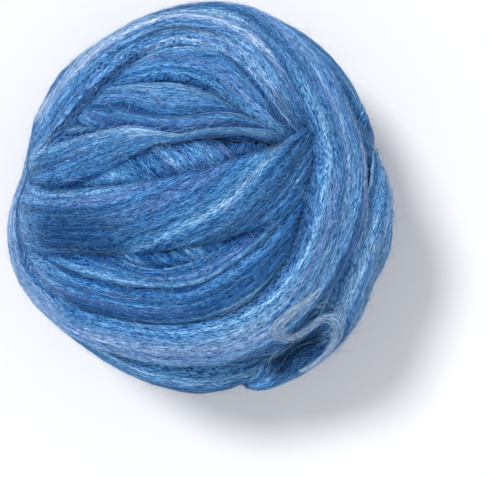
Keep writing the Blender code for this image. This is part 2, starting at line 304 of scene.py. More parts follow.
def laid_over(heights, across, half, lift):
    """Heights over the mean form once one more turn is laid."""
    raised = np.maximum(domed(across, half, lift), heights + TURN_COVER * crowned(across))
    return np.where(np.abs(across) < 1, raised, heights)


def surface(directions, routes):
    """Heights over the mean form with all these turns laid, in each direction."""
    heights = np.full(len(directions), DEEPEST)
    for route in routes:
        heights = laid_over(heights, *beside(directions, route))
    return heights


def eased(values):
    """Values round a closed route, each the weighted mean of its neighbours."""
    weights = np.hanning(2 * EASE_REACH + 3)[1:-1]
    padded = np.concatenate((values[-EASE_REACH:], values, values[:EASE_REACH]))
    return np.convolve(padded, weights / weights.sum(), "valid")


def settled(routes):
    """Lift each turn so that it stands on the turns under it."""
    for i, route in enumerate(routes):
        beds = [surface(route.off_centre(share), routes[:i]) for share in EASE_SHARES]
        route.lift = np.maximum(route.lift, eased(np.mean(beds, axis=0)) + TURN_STAND)
    return routes


def bridged(directions, routes):
    """Heights of what a stiff band rests on: the highest of the ball's points close by."""
    reach = TAIL_BRIDGE / WINDING_RADIUS
    steps = np.concatenate((np.zeros((1, 3)), np.eye(3), -np.eye(3)))
    return np.max([surface(unit(directions + reach * step), routes) for step in steps], axis=0)


def placed(directions, heights):
    """Points at these heights over the mean form, standing on the floor."""
    sunk = np.zeros(directions.shape[:-1])
    for dent in DENTS:
        away = np.degrees(np.arccos(np.clip(directions @ direction(dent.bearing, dent.fall), -1, 1)))
        sunk += dent.depth * MM * np.exp(-(away / dent.reach) ** 2)
    return directions * (CORE_HALF + (heights - sunk)[..., None]) + WINDING_OFF


ROUTES = settled(first_routes() + [turn_route(turn) for turn in TURNS])

# ---- The roving's own relief and colour, and the shade and light painted on it ----

# One layer of lengthwise noise: how broad its ridges are and how far they run, in millimetres,
# and how strong it is.
Grain = namedtuple("Grain", "breadth run depth")
RELIEF = (Grain(9, 170, 0.60), Grain(3.6, 110, 0.32), Grain(1.8, 60, 0.17), Grain(0.9, 35, 0.10))
SHADE = (Grain(11, 200, 0.14), Grain(4.5, 140, 0.20), Grain(1.9, 90, 0.18), Grain(0.9, 50, 0.16))
SWAY = Grain(14, 80, 1.6)
HUE = Grain(5, 150, 1.0)
THREAD = Grain(1.2, 130, 1.0)
FINE = Grain(0.7, 60, 1.0)
LATTICE_COLUMNS = 251
# Each layer of a turn's noise has a seed of its own, this far past the turn's: where its ridges'
# and its shades' layers start, and those of its hue, its threads and its finest fibres.
RELIEF_SEED = 10
SHADE_SEED = 20
HUE_SEED = 30
THREAD_SEED = 31
FINE_SEED = 32
# The seeds of the turns, the loose end and the locks over it, which lie well apart, and those of
# the random draws for the fibres and for the loose end.
TURN_SEED = 7
TURN_SEED_STEP = 100
TAIL_SEED = 5007
LOCK_SEED = 6000
FIBRE_DRAWS = 41
TAIL_DRAWS = 52
# Painted shade where a turn's edge rolls under: how much darker it is at its very edge, and where
# across it that starts.
EDGE_SHADE = 0.26
EDGE_SHADE_START = 0.84
# Across a turn, streaks draw together where it narrows: they count at this half width.
REFERENCE_HALF = 17

# The dyed colours from dark to pale, at their places on the scale that a shade is read from.
SCALE = {"navy": 0.0, "deep": 0.22, "middle": 0.45, "bright": 0.62, "light": 0.80, "white": 1.0}

# How a turn is dyed on the whole: its place on that scale, and its shares of lavender threads,
# of white threads and of dull slate.
Look = namedtuple("Look", "shade lavender white slate")
PLAIN_LOOK = Look(0.58, 0.2, 0.7, 0.2)
LOOKS = {
    "under_left": Look(0.52, 0.7, 0.6, 0.15),
    "under_middle": Look(0.52, 0.7, 0.7, 0.1),
    "under_low": Look(0.44, 0.4, 0.4, 0.3),
    "girdle": Look(0.50, 0.3, 0.7, 0.4),
    "inner_lens": Look(0.58, 0.3, 0.5, 0.35),
    "left_fan": Look(0.50, 0.4, 0.5, 0.1),
    "middle_ridge": Look(0.57, 0.6, 0.8, 0.10),
    "inner_lobe": Look(0.42, 0.4, 0.5, 0.2),
    "inner_arch": Look(0.60, 0.6, 0.4, 0.1),
    "outer_arch": Look(0.66, 0.4, 0.9, 0.15),
    "lower_inner": Look(0.47, 0.4, 0.3, 0.1),
    "lower_outer": Look(0.40, 0.5, 0.3, 0.05),
    "broad_cross": Look(0.38, 0.4, 0.10, 0.35),
    "last_turn": Look(0.52, 0.7, 0.35, 0.30),
    "tail": Look(0.65, 0.1, 0.4, 0.3),
    "curl": Look(0.95, 0.1, 0.6, 0.0),
    "outer_curl": Look(0.72, 0.2, 0.5, 0.1),
    "wisp": Look(0.80, 0.0, 0.5, 0.4),
}

# Where in their noise white, lavender and slate threads begin and are whole, how far up the scale
# white ones lie, and how strong lavender is at its most.
WHITE_RANGE = (0.45, 0.95)
LAVENDER_RANGE = (0.25, 0.8)
SLATE_RANGE = (-0.5, 0.7)
WHITE_RISE = 0.45
LAVENDER_MOST = 0.6
# How whole a streak is: on the mean, and what its threads and its finest fibres change. Also how
# far it fades past each end, in stops.
STREAK_WHOLE = 0.6
STREAK_THREADS = 0.4
STREAK_FINE = 0.35
STREAK_FADE = 0.35

# Wool that gets less light keeps more of its blue and less of its red: the power of a change in
# brightness that each colour takes.
TONE_POWER = (1.6, 1.0, 0.67)

# A streak along a turn, of dyed wool, or of painted shade or painted light where so marked: its
# middle and breadth across in half widths, the stops that it runs between, its tone and how strong
# it is. Its threads break it, so the strongest ones pass 1.
Streak = namedtuple("Streak", "across breadth start end tone strength")
STREAKS = {
    "last_turn": (
        Streak(-0.78, 0.24, 1.8, 7.0, "light", 0.30), Streak(-0.30, 0.17, 3.4, 4.7, "deep", 0.60),
        Streak(-0.22, 0.10, 2.0, 3.5, "lavender", 0.55),
        Streak(-0.48, 0.11, 3.5, 5.6, "lavender", 0.60), Streak(0.14, 0.08, 1.8, 3.1, "deep", 0.50),
        Streak(0.00, 0.08, 3.1, 5.3, "deep", 0.55), Streak(0.62, 0.34, 2.2, 3.5, "white", 0.34),
        Streak(0.48, 0.30, 3.2, 3.9, "white", 0.32), Streak(0.10, 0.50, 4.2, 5.6, "deep", 0.42),
        Streak(0.18, 0.07, 4.9, 5.5, "white", 0.45), Streak(-0.05, 0.08, 5.4, 6.4, "white", 0.42),
        # Painted shade: the shadow streak at stops 5.2 to 5.9.
        Streak(0.62, 0.20, 5.2, 5.9, "shadow", 0.60), Streak(0.33, 0.16, 5.5, 6.3, "navy", 0.50),
        # Painted light: white and light streaks from stop 6 on, pale along the bottom and the left rim.
        Streak(-0.20, 0.35, 6.0, 8.6, "white", 0.40),
        Streak(-0.22, 0.08, 6.0, 7.8, "lavender", 0.42),
        Streak(0.50, 0.25, 6.2, 8.6, "light", 0.45), Streak(-0.65, 0.14, 6.4, 9.0, "middle", 0.51),
        Streak(0.00, 1.00, 9.0, 12.0, "white", 0.52),
        Streak(-0.30, 0.20, 0.6, 2.0, "lavender", 0.30),
        Streak(0.10, 0.10, 0.2, 2.0, "light", 0.40)),
    "outer_arch": (
        Streak(-0.06, 0.14, 3.2, 6.8, "white", 0.80), Streak(-0.25, 0.10, 6.2, 7.6, "white", 0.35),
        Streak(-0.56, 0.11, 4.1, 5.9, "navy", 0.95), Streak(0.10, 0.26, 1.6, 4.2, "white", 0.58),
        Streak(-0.68, 0.10, 5.4, 8.0, "white", 0.42), Streak(-0.90, 0.12, 1.8, 4.4, "navy", 0.95),
        Streak(-0.45, 0.10, 2.0, 4.0, "deep", 0.51),
        Streak(-0.70, 0.12, 2.0, 4.0, "lavender", 0.28),
        # Painted shade: the navy streak at its end, where it dives under the last turn.
        Streak(-0.62, 0.40, 7.4, 8.9, "navy", 0.75),
        Streak(-0.30, 0.16, 4.4, 6.0, "bright", 0.42)),
    "inner_arch": (
        Streak(-0.10, 0.12, 2.2, 4.0, "lavender", 0.50),
        Streak(-0.32, 0.11, 3.6, 6.4, "lavender", 0.50),
        Streak(-0.45, 0.12, 2.0, 3.8, "navy", 0.55), Streak(-0.66, 0.14, 3.4, 6.2, "navy", 0.55),
        Streak(0.35, 0.20, 3.8, 5.4, "bright", 0.42), Streak(0.05, 0.24, 5.0, 7.2, "bright", 0.35),
        # Painted shade: the navy streak at its end, where it dives under the last turn.
        Streak(0.00, 0.90, 7.4, 9.2, "navy", 0.50)),
    "inner_lobe": (
        Streak(0.66, 0.20, 1.8, 4.8, "light", 0.50), Streak(-0.05, 0.10, 2.0, 5.0, "deep", 0.42),
        Streak(-0.50, 0.22, 2.6, 5.0, "slate", 0.42), Streak(0.28, 0.08, 2.0, 4.6, "deep", 0.42)),
    "middle_ridge": (
        Streak(0.50, 0.16, 2.2, 3.5, "lavender", 0.50),
        Streak(0.05, 0.16, 3.2, 4.7, "lavender", 0.38), Streak(0.48, 0.14, 3.7, 5.0, "white", 0.42),
        Streak(-0.10, 0.16, 4.8, 5.9, "light", 0.50), Streak(0.66, 0.16, 5.6, 7.4, "white", 0.36),
        # Painted shade: the navy streak at its end, where it dives under the last turn.
        Streak(-0.20, 0.70, 1.6, 2.9, "deep", 0.45), Streak(0.00, 0.90, 7.6, 9.2, "navy", 0.42)),
    "left_fan": (
        Streak(0.00, 1.60, 4.9, 9.3, "deep", 0.60), Streak(0.60, 0.13, 1.6, 3.0, "light", 0.42),
        Streak(0.55, 0.15, 2.9, 4.4, "white", 0.42), Streak(0.86, 0.10, 2.1, 3.7, "lavender", 0.45),
        Streak(0.16, 0.17, 2.8, 4.0, "white", 0.45), Streak(0.46, 0.08, 1.0, 2.6, "navy", 0.50),
        Streak(0.06, 0.13, 1.1, 2.3, "light", 0.50), Streak(-0.42, 0.14, 2.1, 3.0, "bright", 0.50),
        # Painted light: the light streak at stops -0.5 to 0.5 is the pale left rim.
        Streak(-0.66, 0.20, 1.3, 3.5, "deep", 0.50), Streak(0.00, 1.20, -0.5, 0.5, "light", 0.50)),
    "under_middle": (
        Streak(-0.27, 0.09, 1.4, 2.4, "white", 0.50), Streak(-0.56, 0.16, 1.4, 2.4, "deep", 0.60),
        Streak(0.06, 0.10, 1.4, 2.6, "lavender", 0.45),
        Streak(0.40, 0.14, 1.4, 2.8, "middle", 0.40),
        Streak(0.76, 0.10, 1.4, 2.8, "lavender", 0.50)),
    "under_left": (
        # Painted shade: the navy streak, in the crease by the left fan.
        Streak(0.75, 0.30, 0.8, 2.0, "navy", 0.50), Streak(-0.30, 0.30, 1.2, 2.4, "bright", 0.42)),
    "inner_lens": (
        Streak(0.0, 0.50, 2.0, 5.0, "slate", 0.51), Streak(0.00, 1.50, -0.5, 1.4, "navy", 0.60)),
    "broad_cross": (
        # Painted light: the first light streak, at stops -0.5 to 1.15, is the pale left rim.
        Streak(0.00, 1.50, -0.5, 1.15, "light", 0.70), Streak(-0.25, 0.80, 1.35, 2.5, "navy", 1.15),
        Streak(0.32, 0.09, 0.9, 2.6, "navy", 0.60), Streak(-0.05, 0.50, 1.2, 2.3, "navy", 0.55),
        Streak(-0.65, 0.40, 1.0, 3.0, "navy", 0.50), Streak(0.80, 0.14, 0.8, 3.4, "light", 0.46),
        Streak(0.56, 0.10, 1.8, 3.4, "lavender", 0.45), Streak(0.10, 0.10, 2.2, 3.4, "light", 0.16),
        Streak(-0.28, 0.12, 2.0, 5.0, "deep", 0.60), Streak(-0.48, 0.16, 2.6, 5.2, "bright", 0.25),
        Streak(-0.95, 0.12, 3.0, 6.4, "deep", 0.35), Streak(-1.30, 0.20, 4.0, 6.6, "slate", 0.40),
        Streak(-0.90, 1.20, 5.4, 7.4, "navy", 0.42)),
    "lower_outer": (
        # Painted light: the light streak at stops -0.5 to 1.0 is the pale left rim.
        Streak(0.30, 0.90, -0.5, 1.0, "light", 0.70), Streak(0.50, 0.20, 3.6, 6.4, "deep", 0.59),
        Streak(0.20, 0.10, 0.6, 3.8, "lavender", 0.56),
        # Painted shade: the shadow streak, towards the crease by the last turn.
        Streak(-0.40, 0.24, 1.4, 5.6, "shadow", 0.8), Streak(-0.05, 0.12, 2.0, 5.6, "deep", 0.51)),
    "lower_inner": (
        # Painted light: the light streak at stops -0.5 to 0.9 is the pale left rim.
        Streak(0.00, 1.20, -0.5, 0.9, "light", 0.60), Streak(0.35, 0.10, 1.6, 3.6, "light", 0.4),
        Streak(-0.10, 0.16, 2.4, 5.2, "bright", 0.42), Streak(-0.50, 0.10, 2.0, 5.0, "navy", 0.42),
        Streak(0.55, 0.10, 4.0, 6.2, "light", 0.24)),
    "tail": (
        # Painted light: white streaks on the outer side. Painted shadow: shadow streaks in the hollow.
        Streak(0.55, 0.25, 3.0, 7.4, "white", 0.45), Streak(0.10, 0.30, 0.4, 3.4, "bright", 0.30),
        Streak(0.95, 0.28, 0.6, 7.4, "white", 0.60), Streak(-0.70, 0.30, 4.7, 6.2, "shadow", 0.95),
        Streak(-0.62, 0.44, 4.6, 6.1, "shadow", 1.40),
        Streak(-0.30, 0.35, 4.2, 6.0, "deep", 0.60)),
    "girdle": (
        # Painted shade: its shadow, slate and navy streaks, dark where it lies below the last turn.
        Streak(0.40, 0.30, 0.5, 1.3, "shadow", 0.90), Streak(0.10, 0.50, 0.0, 0.9, "slate", 0.59),
        Streak(-0.05, 0.50, 11.2, 12.4, "navy", 0.62),
        Streak(0.05, 0.50, -0.5, 0.9, "navy", 0.50)),
}

# A stretch where the roving is twisted, so that its fibres run askew over it: its turn, the
# stops that it runs between and how far they get across in it, in half widths. What a turn is
# twisted by on top, it is twisted back by on the far side.
Twist = namedtuple("Twist", "turn start end across")
TWISTS = (
    Twist("broad_cross", 2.4, 6.2, 1.9),
    Twist("broad_cross", 9.0, 15.0, -1.9),
)


def drift(across, along, laps, seed):
    """Smooth seeded noise from -1 to 1. It closes on itself after that many steps along."""
    lattice = np.random.default_rng(seed).uniform(-1, 1, (LATTICE_COLUMNS, laps))
    column, row = np.floor(across), np.floor(along)
    x, y = across - column, along - row
    x, y = x * x * (3 - 2 * x), y * y * (3 - 2 * y)
    left, low = column.astype(int) % LATTICE_COLUMNS, row.astype(int) % laps
    right, high = (left + 1) % LATTICE_COLUMNS, (low + 1) % laps
    near = lattice[left, low] * (1 - x) + lattice[right, low] * x
    far = lattice[left, high] * (1 - x) + lattice[right, high] * x
    return near * (1 - y) + far * y


def grained(grain, across, share, length, seed):
    """One layer of noise, at millimetres across and at a share of a route's whole length."""
    laps = max(2, round(length / grain.run))
    return grain.depth * drift(across / grain.breadth, share * laps, laps, seed)


def smooth(values, low, high):
    """Values eased from 0 at the low one to 1 at the high one."""
    t = np.clip((values - low) / (high - low), 0, 1)
    return t * t * (3 - 2 * t)


def rgb(dyes, tone):
    """One of the dyes as an array."""
    return np.array(list(getattr(dyes, tone)))


def toned(colours, light):
    """The colours with more or less light on them, at one share of light a place."""
    return colours * light[..., None] ** np.array(TONE_POWER)


class Wool:
    """The relief and the colour of one turn, at any place on it."""

    def __init__(self, route, seed):
        self.look = LOOKS.get(route.name, PLAIN_LOOK)
        self.streaks = STREAKS.get(route.name, ())
        self.twists = [twist for twist in TWISTS if twist.turn == route.name]
        self.marks = route.marks
        self.seed = seed
        steps = np.linalg.norm(np.diff(route.path, axis=0), axis=1)
        self.length = steps.sum() * WINDING_RADIUS / MM
        self.rings = len(route.path)
        self.step = self.length * MM / self.rings

    def stop(self, place):
        """The number of the stop that each place is at."""
        return np.interp(place % self.rings, self.marks, np.arange(len(self.marks)))

    def twisted(self, place):
        """How far across the twist has brought the fibres by each place, in half widths."""
        stop = self.stop(place)
        return sum((
            twist.across * np.clip((stop - twist.start) / (twist.end - twist.start), 0, 1)
            for twist in self.twists), np.zeros(np.shape(place)))

    def layer(self, grain, wide, share, number):
        """One layer of this wool's noise, told from its others by its number."""
        return grained(grain, wide, share, self.length, self.seed + number)

    def swayed(self, across, place):
        """Millimetres across at the reference width, where fibres wander, and share along."""
        wide = (across - self.twisted(place)) * REFERENCE_HALF
        share = place / self.rings
        return wide + self.layer(SWAY, wide, share, 0), share

    def relief(self, across, place):
        """How far the ridges stand out, in metres."""
        wide, share = self.swayed(across, place)
        layers = enumerate(RELIEF, RELIEF_SEED)
        return MM * sum(self.layer(grain, wide, share, number) for number, grain in layers)

    def colour(self, across, place, shift, dyes):
        """The wool's colour, with its shade shifted up or down the scale."""
        wide, share = self.swayed(across, place)
        shade = self.look.shade + shift
        for number, grain in enumerate(SHADE, SHADE_SEED):
            shade = shade + self.layer(grain, wide, share, number)
        hue = self.layer(HUE, wide, share, HUE_SEED)
        thread = self.layer(THREAD, wide, share, THREAD_SEED)
        fine = self.layer(FINE, wide, share, FINE_SEED)
        broken = np.clip(STREAK_WHOLE + STREAK_THREADS * thread + STREAK_FINE * fine, 0, 1)
        shade = shade + self.look.white * WHITE_RISE * smooth(thread, *WHITE_RANGE)
        places = list(SCALE.values())
        scale = np.array([rgb(dyes, tone) for tone in SCALE])
        found = np.stack([np.interp(shade, places, scale[:, c]) for c in range(3)], axis=-1)
        for tone, weight in (
                ("lavender", LAVENDER_MOST * self.look.lavender * smooth(hue, *LAVENDER_RANGE)),
                ("slate", self.look.slate * smooth(-hue, *SLATE_RANGE))):
            found = found + (rgb(dyes, tone) - found) * weight[..., None]
        stop = self.stop(place)
        for streak in self.streaks:
            aside = (wide / REFERENCE_HALF - streak.across) / streak.breadth
            ends = smooth(stop, streak.start - STREAK_FADE, streak.start + STREAK_FADE)
            ends = ends * (1 - smooth(stop, streak.end - STREAK_FADE, streak.end + STREAK_FADE))
            weight = np.clip(streak.strength * np.exp(-(aside**2)) * ends * broken, 0, 1)
            found = found + (rgb(dyes, streak.tone) - found) * weight[..., None]
        return np.clip(found, 0, 1)


# ---- The skins that the bands and the fibres share ----

# Places across a turn at which its upper surface has points, closer together at its edges.
TOP_COLUMNS = 75
FIRST_COLUMNS = 31
EDGE_CROWDING = 0.35
# Where the underside has points, and how far it lies inside what carries the turn and over the
# lowest that the turn may reach. On the chart of a turn's wool, the underside goes on past 1.
UNDER_SHARES = (1.0, 0.55, 0.0, -0.55, -1.0)
UNDER_DEPTH = 1.4 * MM
UNDER_CLEAR = 1.0 * MM
UNDER_CHART = (1.1, 2.9, 3.0)
# The crease along a turn's edge: how deep it is, how far it reaches and where across it starts.
GROOVE = 2.3 * MM
GROOVE_REACH = 2.0 * MM
GROOVE_START = 0.76
# How far a turn's edges wander and over what run, in millimetres, and where that is read in its
# noise: the middle between the two edges, and how far each lies from it.
EDGE_WANDER = 1.2 * MM
EDGE_RUN = 17
EDGE_NOISE = (5, 3.0)
# How far a turn presses in what it covers, and how far inside its edge that is whole.
PRESS = 1.6 * MM
PRESS_REACH = 0.2
# A turn whose half width is less than this has lower ridges. At its edge, a turn's ridges lose
# this share of their height.
RIDGE_HALF = 12 * MM
RIDGE_EDGE_LOSS = 0.6
# A turn's very edge counts as just inside it, so that the turn still covers what is under it.
INSIDE = 0.999
# Painted shade in the crease beside a turn that lies over it: how much darker the wool is there,
# and how far that reaches.
CREASE_SHADE = 0.58
CREASE_REACH = 3.0 * MM
# Round the ball's widest level the turns blend, and grooves, painted crease shade and painted edge
# shade come to nothing: how high a direction points there, and how far off that they begin and are
# whole.
BLEND_LEVEL = 0.12
BLEND_NEAR = 0.08
BLEND_FAR = 0.40
# The share of a groove that is left there, to tuck a turn's edge in.
TUCK = 0.2
# A point is hidden when the winding stands this far over it. Rings next to one that shows stay.
HIDDEN_OVER = 0.35 * MM
SPARE_RINGS = 2
# The fewest rows that make a band.
LEAST_RINGS = 3
# On the flat spot, each turn lies this far under the one laid before it.
FLOOR_LAYER = 0.04 * MM


def top_shares(columns):
    """Places across a turn from edge to edge, closer together at its edges."""
    even = np.linspace(-1, 1, columns)
    return (1 - EDGE_CROWDING) * even + EDGE_CROWDING * np.sin(even * math.pi / 2)


class Skin:
    """The upper surface of a turn: rows of points across it, and what of them shows."""

    def __init__(self, index, columns):
        route = ROUTES[index]
        across, place = self.follow(route, columns, TURN_SEED_STEP * index + TURN_SEED)
        self.floor = (len(ROUTES) - 1 - index) * FLOOR_LAYER
        laps = max(2, round(self.wool.length / EDGE_RUN))
        middle, apart = EDGE_NOISE
        wander = EDGE_WANDER * drift(
            np.sign(across) * apart + middle, place * laps / self.rings, laps, self.wool.seed + 1)
        half = route.half[:, None]
        flat = self.fan(across * (half + wander * np.abs(across)) / WINDING_RADIUS)
        bed = surface(flat, ROUTES[:index])
        own_across = across.reshape(-1)
        own_half = np.broadcast_to(half, across.shape).reshape(-1)
        own_lift = np.broadcast_to(route.lift[:, None], across.shape).reshape(-1)
        edge = smooth(np.abs(own_across), GROOVE_START, 1)
        depth = smooth(np.abs(flat[:, 2] - BLEND_LEVEL), BLEND_NEAR, BLEND_FAR)
        tucked = GROOVE * edge * np.maximum(depth, TUCK)
        covering = bed - tucked + TURN_COVER * crowned(own_across)
        top = np.maximum(domed(own_across, own_half, own_lift), covering)
        laid = laid_over(bed, own_across * INSIDE, own_half, own_lift)
        final = laid
        pressed = np.zeros(len(flat))
        crease = np.zeros(len(flat))
        for later in ROUTES[index + 1:]:
            beyond, later_half, later_lift = beside(flat, later)
            final = laid_over(final, beyond, later_half, later_lift)
            off = np.maximum(np.abs(beyond) - 1, 0) * later_half
            groove = GROOVE * depth * np.exp(-((off / GROOVE_REACH) ** 2))
            cover = PRESS * smooth(1 - np.abs(beyond), 0, PRESS_REACH)
            pressed = np.maximum(pressed, groove + cover)
            # Painted shade: the crease beside each later turn darkens the wool's colour.
            crease = np.maximum(crease, depth * np.exp(-((off / CREASE_REACH) ** 2)))
        fade = np.minimum(1, own_half / RIDGE_HALF) * (1 - RIDGE_EDGE_LOSS * edge)
        ridges = self.wool.relief(across, place).reshape(-1) * fade
        # Painted shade at rolled edges and in creases, as the share of light that each point keeps.
        painted_edge_shade = depth * smooth(np.abs(own_across), EDGE_SHADE_START, 1)
        light = (1 - CREASE_SHADE * crease) * (1 - EDGE_SHADE * painted_edge_shade)
        self.bed = np.minimum(bed, top).reshape(across.shape)
        self.heights = (top - pressed + ridges).reshape(across.shape)
        self.shown = (final - laid < HIDDEN_OVER).reshape(across.shape)
        self.light = light.reshape(across.shape)
        self.points = placed(self.ways, self.heights)
        self.points[..., 2] = np.maximum(self.points[..., 2], self.floor)

    def follow(self, route, columns, seed):
        """Take up a route and its wool, and give the places across and along of all points."""
        self.route = route
        self.closed = route.closed
        self.wool = Wool(route, seed)
        self.rings = len(route.path)
        self.shares = top_shares(columns)
        across = np.ones((self.rings, 1)) * self.shares
        return across, np.arange(self.rings)[:, None] * np.ones(columns)

    def fan(self, angle):
        """Spread the points' directions at angles across the route, and give them in one row."""
        middle, side = self.route.path[:, None, :], self.route.side[:, None, :]
        self.ways = unit(middle * np.cos(angle)[..., None] + side * np.sin(angle)[..., None])
        return self.ways.reshape(-1, 3)

    def under_columns(self):
        """The numbers of the columns that the underside's points lie under."""
        return [int(np.argmin(np.abs(self.shares - share))) for share in UNDER_SHARES]

    def underside(self):
        """Rows of points on the turn's underside."""
        columns = self.under_columns()
        points = placed(self.ways[:, columns], self.bed[:, columns] - UNDER_DEPTH)
        points[..., 2] = np.maximum(points[..., 2], self.floor + UNDER_CLEAR)
        return points

    def at(self, across, place):
        """Points on the surface at places between its rows and columns."""
        column = np.interp(across, self.shares, np.arange(len(self.shares)))
        left = np.minimum(column.astype(int), len(self.shares) - 2)
        x = (column - left)[..., None]
        if self.closed:
            low = np.floor(place).astype(int)
            y = (place - low)[..., None]
            low, high = low % self.rings, (low + 1) % self.rings
        else:
            held = np.clip(place, 0, self.rings - 1)
            low = np.minimum(held.astype(int), self.rings - 2)
            y = (held - low)[..., None]
            high = low + 1
        near = self.points[low, left] * (1 - x) + self.points[low, left + 1] * x
        far = self.points[high, left] * (1 - x) + self.points[high, left + 1] * x
        return near * (1 - y) + far * y

    def nearest(self, across, place):
        """The numbers of the row and the column nearest to these places."""
        column = np.interp(across, self.shares, np.arange(len(self.shares)))
        row = np.round(place).astype(int)
        row = row % self.rings if self.closed else np.clip(row, 0, self.rings - 1)
        return row, np.round(column).astype(int)

    def shows(self, across, place):
        """Whether the surface shows at these places."""
        return self.shown[self.nearest(across, place)]

    def half_at(self, place):
        """Half the turn's width at these places along it."""
        return np.interp(place % self.rings, np.arange(self.rings), self.route.half)

    def held(self, place):
        """These places along it, kept short of the ends if it has any."""
        return place if self.closed else np.clip(place, END_ROOM, self.rings - (1 + END_ROOM))

    def shown_widths(self):
        """The width that each point stands for where the surface shows, in metres."""
        return self.shown * (np.gradient(self.shares)[None, :] * self.route.half[:, None])

    def shown_area(self):
        """The area that shows, in square metres."""
        return self.shown_widths().sum() * self.wool.step

    def colour(self, across, place, shift, dyes):
        """The wool's colour at these places, with painted shade in creases and at rolled edges."""
        light = self.light[self.nearest(across, place)]
        return toned(self.wool.colour(across, place, shift, dyes), light)


def showing_runs(skin):
    """The stretches of a turn's rows that show, as lists of row numbers."""
    rows = skin.shown.any(axis=1)
    for _ in range(SPARE_RINGS):
        rows = rows | np.roll(rows, 1) | np.roll(rows, -1)
    count = len(rows)
    if rows.all():
        return [np.arange(count + 1) % count if skin.closed else np.arange(count)]
    start = int(np.argmin(rows))
    runs = []
    run = []
    for step in range(1, count + 1):
        row = (start + step) % count
        if rows[row]:
            run.append(row)
        elif run:
            runs.append(np.array(run))
            run = []
    return runs


# ---- Making meshes ----

COLOUR_NAME = "wool_colour"
MAP_NAME = "along_across"
SAME_POINT = 1e-7


def deselect():
    """Leave nothing selected, in object mode."""
    bpy.ops.object.select_all(action="DESELECT")


def dressed(piece, material, node):
    """Give a finished piece its wool and its body, and hide the solid that it stands for."""
    piece.data.materials.clear()
    piece.data.materials.append(material)
    deselect()
    piece.select_set(True)
    bpy.context.view_layer.objects.active = piece
    bpy.ops.object.shade_smooth()
    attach(piece, BODY)
    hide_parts(node)
    return piece


def outward(piece):
    """Turn a closed piece's faces outwards."""
    mesh = piece.data
    mesh.calc_loop_triangles()
    corners = np.zeros(len(mesh.loop_triangles) * 3, int)
    mesh.loop_triangles.foreach_get("vertices", corners)
    points = np.zeros(len(mesh.vertices) * 3)
    mesh.vertices.foreach_get("co", points)
    a, b, c = points.reshape(-1, 3)[corners.reshape(-1, 3)].transpose(1, 0, 2)
    if (a * np.cross(b, c)).sum() < 0:
        bpy.ops.object.mode_set(mode="EDIT")
        bpy.ops.mesh.select_all(action="SELECT")
        bpy.ops.mesh.flip_normals()
        bpy.ops.object.mode_set(mode="OBJECT")


def band(name, points, colours, along, across):
    """A closed band from a grid: rows along it, and columns round it that meet again."""
    rows, columns = points.shape[:2]
    deselect()
    bpy.ops.mesh.primitive_grid_add(x_subdivisions=rows - 1, y_subdivisions=columns, size=2)
    piece = bpy.context.object
    piece.name = name
    mesh = piece.data
    mesh.name = name
    flat = np.zeros(len(mesh.vertices) * 3)
    mesh.vertices.foreach_get("co", flat)
    flat = flat.reshape(-1, 3)
    row = np.round((flat[:, 0] + 1) / 2 * (rows - 1)).astype(int)
    column = np.round((flat[:, 1] + 1) / 2 * columns).astype(int)
    around = column % columns
    mesh.vertices.foreach_set("co", points[row, around].reshape(-1))
    dye = mesh.color_attributes.new(COLOUR_NAME, "FLOAT_COLOR", "POINT")
    shown = np.ones((len(flat), 4))
    shown[:, :3] = colours[row, around]
    dye.data.foreach_set("color", shown.reshape(-1))
    corners = np.zeros(len(mesh.loops), int)
    mesh.loops.foreach_get("vertex_index", corners)
    for old in list(mesh.uv_layers):
        mesh.uv_layers.remove(old)
    chart = mesh.uv_layers.new(name=MAP_NAME)
    across = np.broadcast_to(across, (rows, columns + 1))
    places = np.stack((along[row[corners]], across[row[corners], column[corners]]), axis=1)
    chart.data.foreach_set("uv", places.reshape(-1))
    bpy.ops.object.mode_set(mode="EDIT")
    bpy.ops.mesh.select_all(action="SELECT")
    bpy.ops.mesh.remove_doubles(threshold=SAME_POINT)
    bpy.ops.mesh.select_all(action="DESELECT")
    bpy.ops.mesh.select_mode(type="EDGE")
    bpy.ops.mesh.select_non_manifold()
    bpy.ops.mesh.fill_holes(sides=0)
    bpy.ops.object.mode_set(mode="OBJECT")
    outward(piece)
    return piece


def joined(name, parts):
    """Several objects as one."""
    deselect()
    for part in parts:
        part.select_set(True)
    bpy.context.view_layer.objects.active = parts[0]
    if len(parts) > 1:
        bpy.ops.object.join()
    piece = bpy.context.view_layer.objects.active
    piece.name = name
    piece.data.name = name
    return piece


def turn_band(skin, dyes):
    """The closed bands of one turn, over the stretches of it that show."""
    under = len(UNDER_SHARES)
    points = np.concatenate((skin.points, skin.underside()), axis=1)
    rows = np.arange(skin.rings)[:, None]
    grid = np.ones((skin.rings, len(skin.shares)))
    colours = skin.colour(grid * skin.shares, grid * rows, 0.0, dyes)
    colours = np.concatenate((colours, np.repeat(colours[:, -1:], under, axis=1)), axis=1)
    low, high, last = UNDER_CHART
    wide = np.concatenate((skin.shares, np.linspace(low, high, under), (last,)))
    across = (wide - skin.wool.twisted(rows)) * REFERENCE_HALF * MM
    parts = []
    for i, run in enumerate(showing_runs(skin)):
        if len(run) < LEAST_RINGS:
            continue
        along = (run[0] + np.arange(len(run))) * skin.wool.step
        parts.append(band(f"{skin.route.name}_{i}", points[run], colours[run], along, across[run]))
    return parts


# ---- Fibres ----

STRAND_RINGS = 5
FUZZ_RINGS = 3
STRAND_SIDES = 3
# A strand is flatter than it is wide, and loses this share of its girth at its ends, by this
# power of how near they are. No strand goes under the floor.
STRAND_FLATNESS = 0.5
STRAND_TAPER = 0.75
STRAND_TAPER_POWER = 3
STRAND_FLOOR = 0.02 * MM
# How far apart along and across the wool's grain the charts of two strands lie.
CHART_STEPS = (0.013, 0.0017)
